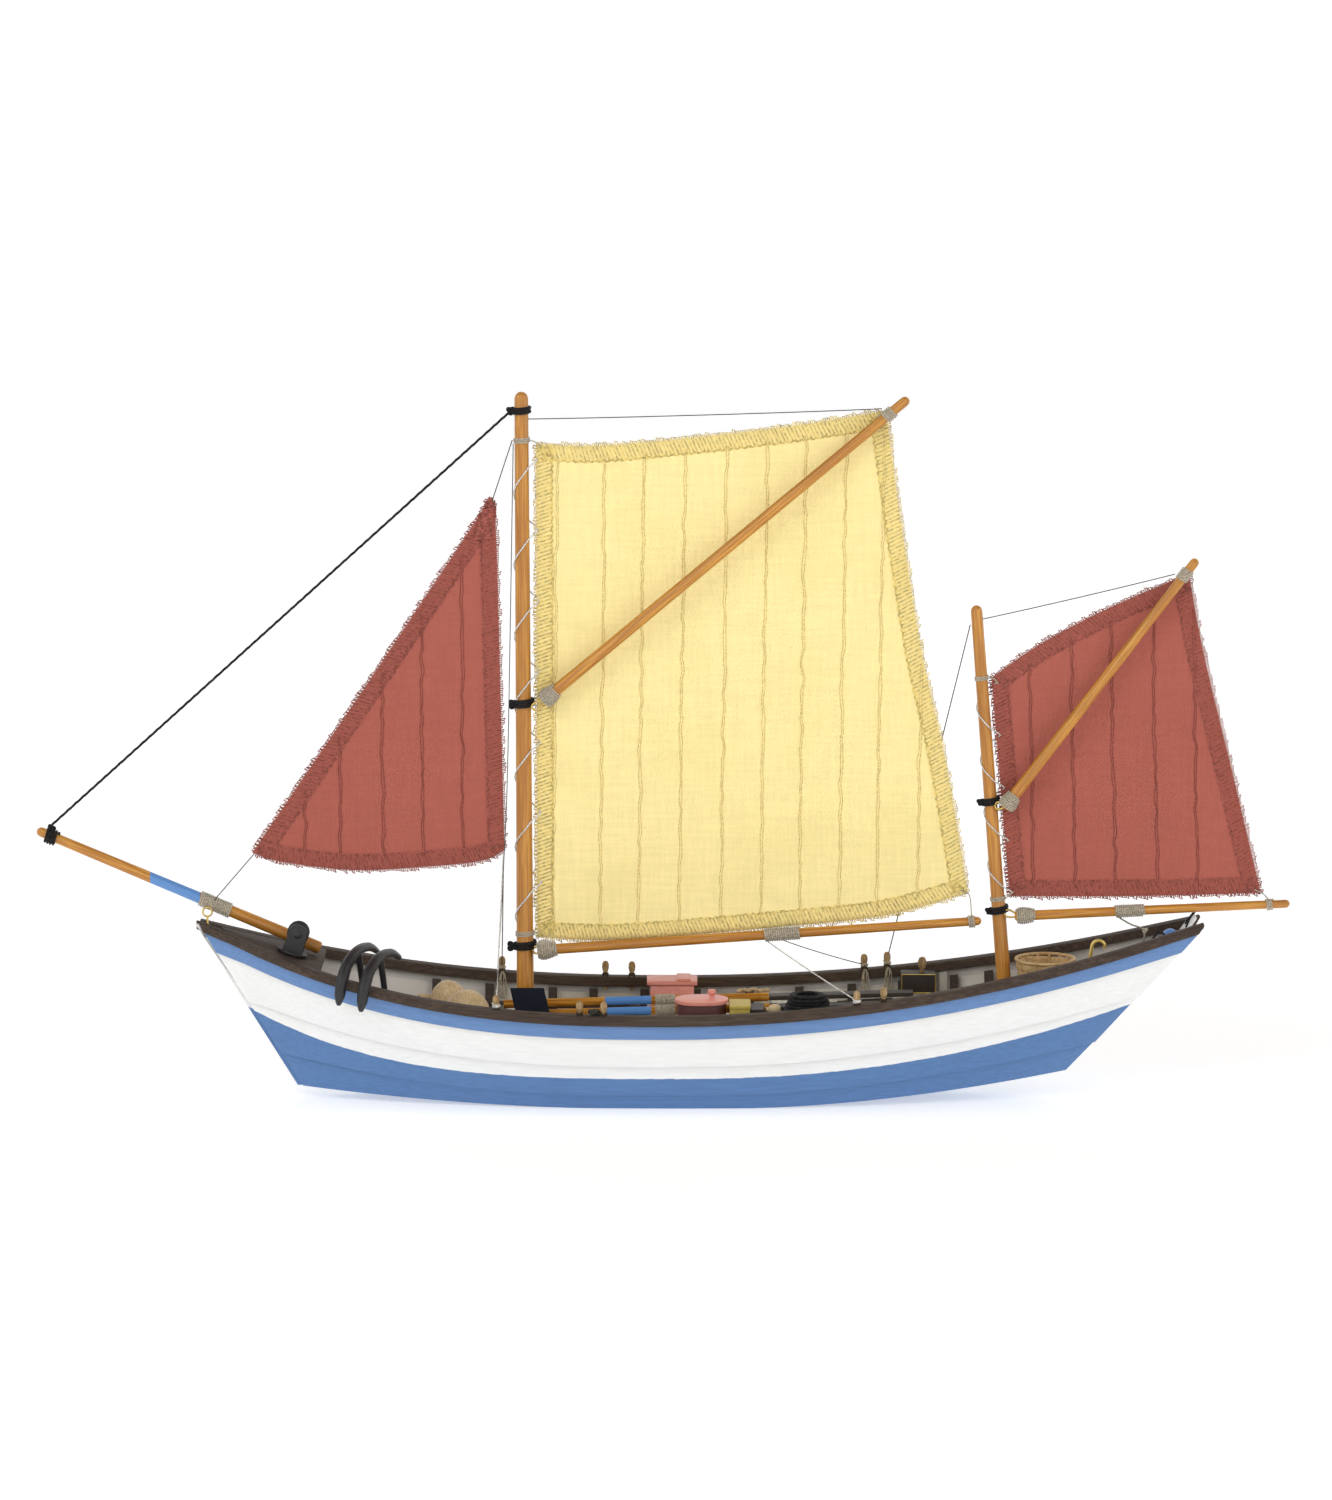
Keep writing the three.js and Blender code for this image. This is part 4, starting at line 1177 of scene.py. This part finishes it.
def coil_path():
    """A heap of turns side by side, layer on layer, each layer narrower than the one below."""
    cx, cy = COIL["centre"]
    step = COIL["cord"] * 1.06
    path, per_turn = [], 26
    for layer in range(COIL["layers"]):
        share = layer / (COIL["layers"] - 1)
        outer = COIL["foot"] - (COIL["foot"] - COIL["top"]) * share ** 1.5
        count = int((outer - COIL["inner"]) / step) + 1
        z = COIL["low"] + COIL["cord"] * 0.52 + layer * step
        total = count * per_turn
        for k in range(total + 1):
            t = k / total
            r = outer - (count - 1) * step * (1 - t if layer % 2 else t)
            angle = 2 * math.pi * (k / per_turn) + layer * 0.9
            r += 0.3 * noise(Vector((math.cos(angle), math.sin(angle), len(path) * 0.004)))
            drop = max(0.0, 1 - k / 5) * step if layer else 0.0
            path.append(Vector((cx + r * math.cos(angle), cy + r * math.sin(angle), z - drop)))
    return path


def make_coil():
    path = coil_path()
    shape = tube(path, COIL["cord"] / 2, 9, lobes=3, pitch=4)
    obj = piece("rope_coil_turns", shape, "black_cord", "hull")
    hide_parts("rope_coil")


make_coil()

# Anchors: a crescent arm with a leaf-shaped fluke hangs over the port rail.
ARM = [(0.1, 50.6), (1.3, 54.6), (4, 61.2), (9.6, 67.8), (19.5, 72.1), (31, 71.8), (39.4, 68.3)]
ARM_SIZE = [0.8, 2.6, 3.0, 2.7, 2.3, 2.1, 1.4]


def anchor(node, x, y, lift):
    across = Vector((16, 37, 0)).normalized()
    base = Vector((x, y, lift))
    line = smooth_line([base + across * s + Vector((0, 0, z)) for s, z in ARM], 0.8)
    marks = np.array([0.0] + [math.dist(a, b) for a, b in zip(ARM, ARM[1:])]).cumsum()
    sizes = np.interp(np.linspace(0, marks[-1], len(line)), marks, ARM_SIZE)
    arm = tube(line, list(sizes), 14, flat=0.88)
    shank = tube([base + across * 20.5 + Vector((0, 0, 70.5)),
                  base + across * 27 + Vector((0, 0, 45)),
                  base + across * 33 + Vector((0, 0, 20.4))], [1.5, 1.3, 1.1], 8)
    obj = piece(f"{node}_casting", join([arm, shank]), "black_iron", "hull")
    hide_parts(node)


anchor("anchor_forward", -152.3, -42.5, 0)
anchor("anchor_aft", -142.2, -45.8, -2.2)


ROLLER_TILT = 0.3


ROLLER_GAP, CHEEK_THICK = 0.35, 1.15
CHEEK_FOOT, CHEEK_DROP, CHEEK_ROUND = 4.6, 9.2, 4.3


def make_roller():
    """The grooved wheel on its pin, and the bolt heads at the pin's ends."""
    low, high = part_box("roller")
    centre = (low + high) / 2 / MM
    r, half = (high.z - low.z) / 2 / MM, (high.y - low.y) / 2 / MM
    profile = [[1.4, -half], [r * 0.5, -half], [r * 0.9, -half + 0.15], [r, -half + 0.6],
               [r * 0.97, -half + 1.2], [r * 0.62, -half + 1.9], [r * 0.52, 0],
               [r * 0.62, half - 1.9], [r * 0.97, half - 1.2], [r, half - 0.6],
               [r * 0.9, half - 0.15], [r * 0.5, half], [1.4, half], [1.4, -half]]
    wheel = piece("roller_spool", lathe(profile, centre, (0, 1, 0), 40), "black_iron",
                  "roller_wheel")
    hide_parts("roller")
    for word, side in (("near", -1), ("far", 1)):
        at = centre + Vector((0, side * (half + ROLLER_GAP + 0.6), 0))
        dome = [[0, 0], [1.7, 0], [1.9, 0.5], [1.3, 1.1], [0, 1.3]]
        piece(f"roller_bolt_{word}", lathe(dome, at, (0, side, 0), 20), "black_iron", "hull")
    make_roller_bracket(centre, half)


def make_roller_bracket(centre, half):
    """Two round-topped cheeks on an oval foot, with the pin through them."""
    tilt = Matrix.Rotation(ROLLER_TILT, 3, "Y")
    outline = [(-CHEEK_FOOT, -CHEEK_DROP)]
    outline += [(CHEEK_ROUND * math.cos(a), CHEEK_ROUND * math.sin(a))
                for a in (math.pi * (1 - k / 16) for k in range(17))]
    outline.append((CHEEK_FOOT, -CHEEK_DROP))
    parts = []
    for side in (-1, 1):
        near = (half + ROLLER_GAP) * side
        far = (half + ROLLER_GAP + CHEEK_THICK) * side
        verts = [Vector((x, y, z)) for y in (near, far) for x, z in outline]
        n = len(outline)
        faces = [list(range(n)), list(range(2 * n - 1, n - 1, -1))]
        faces += [[i, (i + 1) % n, n + (i + 1) % n, n + i] for i in range(n)]
        parts.append((verts, faces))
    oval = lathe([[0, -10.2], [6.6, -10.2], [7, -9.8], [7, -8.8], [6.6, -8.4], [0, -8.4]], sides=32)
    parts.append(([Vector((v.x, v.y * 0.86, v.z)) for v in oval[0]], oval[1]))
    parts.append(lathe([[0, -half - 1], [1.15, -half - 1], [1.15, half + 1], [0, half + 1]],
                       along=(0, 1, 0), sides=20))
    verts, faces = join(parts)
    shape = ([tilt @ v + centre for v in verts], faces)
    bracket = piece("roller_mount", shape, "black_iron", "hull", smooth=35, bevel=0.2)
    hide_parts("roller_bracket")


make_roller()


def make_basket():
    """Upright stakes with split cane woven in and out of them, and a bound rim."""
    low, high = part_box("basket")
    centre = (low + high) / 2 / MM
    foot, top = low.z / MM, high.z / MM
    rim = (high.x - low.x) / 2 / MM
    stakes, rows = 15, 8
    rise = (top - foot - 2.2) / rows

    def radius(z):
        return 10 + (rim - 10.6) * (z - foot) / (top - foot)

    parts = []
    for row in range(rows):
        middle = foot + 0.4 + rise * (row + 0.5)
        verts, faces, around = [], [], stakes * 6
        section = [(0.3, -0.3), (0.42, 0), (0.3, 0.3), (0, 0.47), (-0.3, 0.3), (-0.42, 0),
                   (-0.3, -0.3), (0, -0.47)]
        for k in range(around):
            angle = 2 * math.pi * k / around
            weave = 0.55 * math.sin(stakes / 2 * angle + math.pi * row)
            for out, up in section:
                z = middle + up * rise + 0.2 * math.sin(angle * 3 + row * 2)
                r = radius(z) + weave + out - 0.6
                verts.append(Vector((centre.x + r * math.cos(angle), r * math.sin(angle), z)))
        for k in range(around):
            for e in range(8):
                a, b = k * 8 + e, k * 8 + (e + 1) % 8
                c = (k + 1) % around * 8
                faces.append([a, b, c + (e + 1) % 8, c + e])
        parts.append((verts, faces))
    for k in range(stakes):
        angle = 2 * math.pi * (k + 0.25) / stakes
        ends = [(centre.x + (radius(z) - 0.6) * math.cos(angle),
                 (radius(z) - 0.6) * math.sin(angle), z) for z in (foot + 0.4, top - 0.6)]
        parts.append(tube(ends, 0.62, 6))
    hoop = [(centre.x + (rim - 0.7) * math.cos(a), (rim - 0.7) * math.sin(a), top - 0.9)
            for a in (2 * math.pi * k / 60 for k in range(60))]
    parts.append(tube(hoop, 0.75, 8, ring=True))
    floor_disc = lathe([[0, 0.3], [9.2, 0.3], [9.2, 1.1], [0, 1.1]], (centre.x, 0, foot))
    obj = piece("basket_weave", join(parts + [floor_disc]), "basket_weave", "hull")
    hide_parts("basket")


make_basket()

# Slate board leaning on the main mast.
SLATE_TURN = Matrix.Rotation(-0.28, 3, "X") @ Matrix(((1, 0, -0.23), (0, 1, 0), (0, 0, 1)))
piece("slate_board", slab((-7.6, -0.6, 0), (7.8, 0.6, 16.2), SLATE_TURN, (-65.4, -15.6, 36.8)),
      "navy_paint", "hull", bevel=0.25)

# Oar wrappings.
for name in ("oar_port", "oar_starboard"):
    low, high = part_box(name)
    y = (low.y + high.y) / 2 / MM
    start = Vector((-80, y, low.z / MM + 2))
    climb = Vector((math.cos(0.028), 0, math.sin(0.028)))
    piece(f"{name}_whipping", winding(start + climb * 69, start + climb * 78, 2, 0.7),
          "pale_cord", "hull")

# Brass lines on the foghorn box.
box_low, box_high = (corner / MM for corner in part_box("foghorn_box"))


def box_trim():
    front = box_low.y - 0.1
    left, right = box_low.x + 0.3, box_high.x - 0.3
    foot, top = box_low.z + 0.3, box_high.z - 0.3
    frame_line = [(left, front, foot), (right, front, foot), (right, front, top),
                  (left, front, top)]
    parts = [tube([frame_line[i], frame_line[(i + 1) % 4]], 0.22, 6) for i in range(4)]
    return join(parts)


piece("foghorn_trim", box_trim(), "brass", "hull")

# A yellow box with a dark end, a float, rope ends and a loose cord.
for name, low, high, slot, bevel in (
        ("tackle_box", (22.3, -28.6, 37.3), (31.4, -12.4, 46.1), "olive_paint", 0.4),
        ("tackle_box_end", (31.6, -28, 37.3), (37.8, -13, 45.8), "dark_wood", 0.4),
        ("tackle_box_lid", (22.1, -29, 46.2), (31.7, -12, 47.6), "olive_paint", 0.35)):
    piece(name, slab(low, high), slot, "hull", bevel=bevel)
FLOAT = [[0, 0], [1.0, 0.1], [1.4, 0.6], [1.0, 1.2], [1.2, 1.7], [2.2, 2.6], [2.6, 4.2],
         [2.5, 5.8], [1.9, 6.9], [0, 7.4]]
piece("net_float", lathe(FLOAT, (38.2, -14.4, 43), (1, 0, 0.02), 24), "pale_wood", "hull",
      paint("cream_paint", (0.74, 0.56, 0.33), 0.5))
for number, (x, y, lean) in enumerate(((26, 7.4, 0.9), (30.4, 8, 1.1), (35.6, 8.6, 0.5)), 1):
    start = Vector((x, y, 46.9))
    bend = [start, start + Vector((2.6, 0.4, 0.9 * lean)), start + Vector((5.4, 1, 0.3))]
    piece(f"rope_end_{number}", tube(smooth_line(bend, 0.5), 0.95, 9, lobes=3, pitch=3),
          "pale_cord", "hull", TAN_THREAD)
cord("loose_cord", [(-116.2, 5.4, 41.5), (-114.6, 1, 41.5), (-115.8, -3.4, 41.5),
                    (-112.4, -6.6, 41.5), (-114.6, -10.6, 41.5), (-111.2, -13.6, 41.5),
                    (-113.4, -17.4, 41.5), (-110.2, -20.2, 41.5), (-107.4, -24, 41.5)], 0.9,
     "black_cord", "hull", step=0.6)
piece("rail_knot", join([knot(rail(-39, PORT) + Vector((0, -0.5, 1.2)), 1.9, 1.0),
                         knot(rail(-36.6, PORT) + Vector((0, 0.8, 1.0)), 1.4, 0.8, 1.0)]),
      "black_cord", "hull", GREEN_THREAD)


def boat_hook():
    arc = [(186.2 + 2.9 - 2.9 * math.cos(a), -3, 69.6 + 2.9 * math.sin(a))
           for a in (math.pi * k / 14 for k in range(16))]
    return tube([(184.4, -3, 61), (185.6, -3, 66)] + arc, 0.85, 10)


piece("boat_hook", boat_hook(), "brass", "hull")
piece("boat_hook_pole", tube([(177.2, -3, 34.2), (184.7, -3, 62.4)], [1.3, 1.15], 14),
      "pale_wood", "hull")
STERN_TURN = Matrix.Rotation(0.6, 3, "Y")


def stern_board():
    """A board across the stern between the rails, following their taper."""
    foot = Vector((224.6, 0, 71.6))
    verts = []
    for deep in (-0.6, 0.6):
        for up, half in ((0, 9.6), (6, 9.4), (9.5, 7.4), (14.6, 5.6)):
            for side in (PORT, STARBOARD):
                verts.append(foot + STERN_TURN @ Vector((deep, side * half, up)))
    faces = [[0, 1, 3, 5, 7, 6, 4, 2], [8, 10, 12, 14, 15, 13, 11, 9], [0, 8, 9, 1],
             [6, 7, 15, 14]]
    faces += [[k, k + 2, k + 10, k + 8] for k in (0, 2, 4)]
    faces += [[k + 1, k + 9, k + 11, k + 3] for k in (0, 2, 4)]
    return verts, faces


piece("stern_board", stern_board(), "hull_two_tone", "hull", STERN_WHITE, bevel=0.3)
BALL = [[3.9 * math.sin(math.pi * k / 14), -3.9 * math.cos(math.pi * k / 14)]
        for k in range(15)]
piece("buoy", lathe(BALL, (221.8, 0, 73.6)), "sheer_blue", "hull", BUOY_BLUE)
tie("stern_becket", [(228.4, -3.4, 78.6), (230.6, -3, 83.4), (233, 0, 85.4), (231.4, 3, 83.2),
                     (228.6, 3, 79)], 0.9, "hull", "black_cord")
tie("stern_rope", [(213.4, -7.6, 74.6), (216, -5, 76.6), (218.4, -7.4, 76), (215.8, -8.8, 74.6),
                   (213.6, -6, 73.4)], 1.1, "hull", "black_cord")

# A pale upright board on the starboard side, next to a frame.
BOARD_X, BOARD_HALF, BOARD_THICK = 120.8, 2.0, 1.1


def upright_board():
    low, high = (inside(BOARD_X, z, STARBOARD, 1.0) for z in (44, 53))
    verts = []
    for z in (42, 54.7):
        p = low.lerp(high, (z - low.z) / (high.z - low.z))
        verts += [Vector((BOARD_X + side, p.y - deep, z)) for side in (-BOARD_HALF, BOARD_HALF)
                  for deep in (0, BOARD_THICK)]
    return verts, BOX_FACES


piece("upright_board", upright_board(), "grey_paint", "hull", smooth=30, bevel=0.3)


# ------------------------------------------------------------------ risers and mast steps
def riser(side):
    path = [inside(x, z, side, 4.9) for x, z in
            ((-112, 37.2), (-90, 36.6), (-60, 34.6), (-30, 33.6), (0, 33.4), (30, 33.6),
             (60, 35.2), (90, 38), (116, 39.4))]
    return tube(smooth_line(path, 4), 1.3, 8, flat=0.6)


for side, word in SIDE_WORD.items():
    piece(f"riser_{word}", riser(side), "frame_brown", "hull")


def mast_step(name, mast, floor_z, height=5.5):
    centre, radius = SPARS[mast].at(Z_AXIS, floor_z)
    inner, outer = radius + 0.3, radius + 4
    profile = [[inner, 0], [outer, 0], [outer, height * 0.5], [outer - 1.4, height],
               [inner, height], [inner, 0]]
    piece(name, lathe(profile, (centre.x, 0, floor_z), sides=8), "frame_brown", "hull",
          smooth=20)


mast_step("main_mast_step", "main_mast", 3.6)
mast_step("mizzen_mast_step", "mizzen_mast", 12.6)
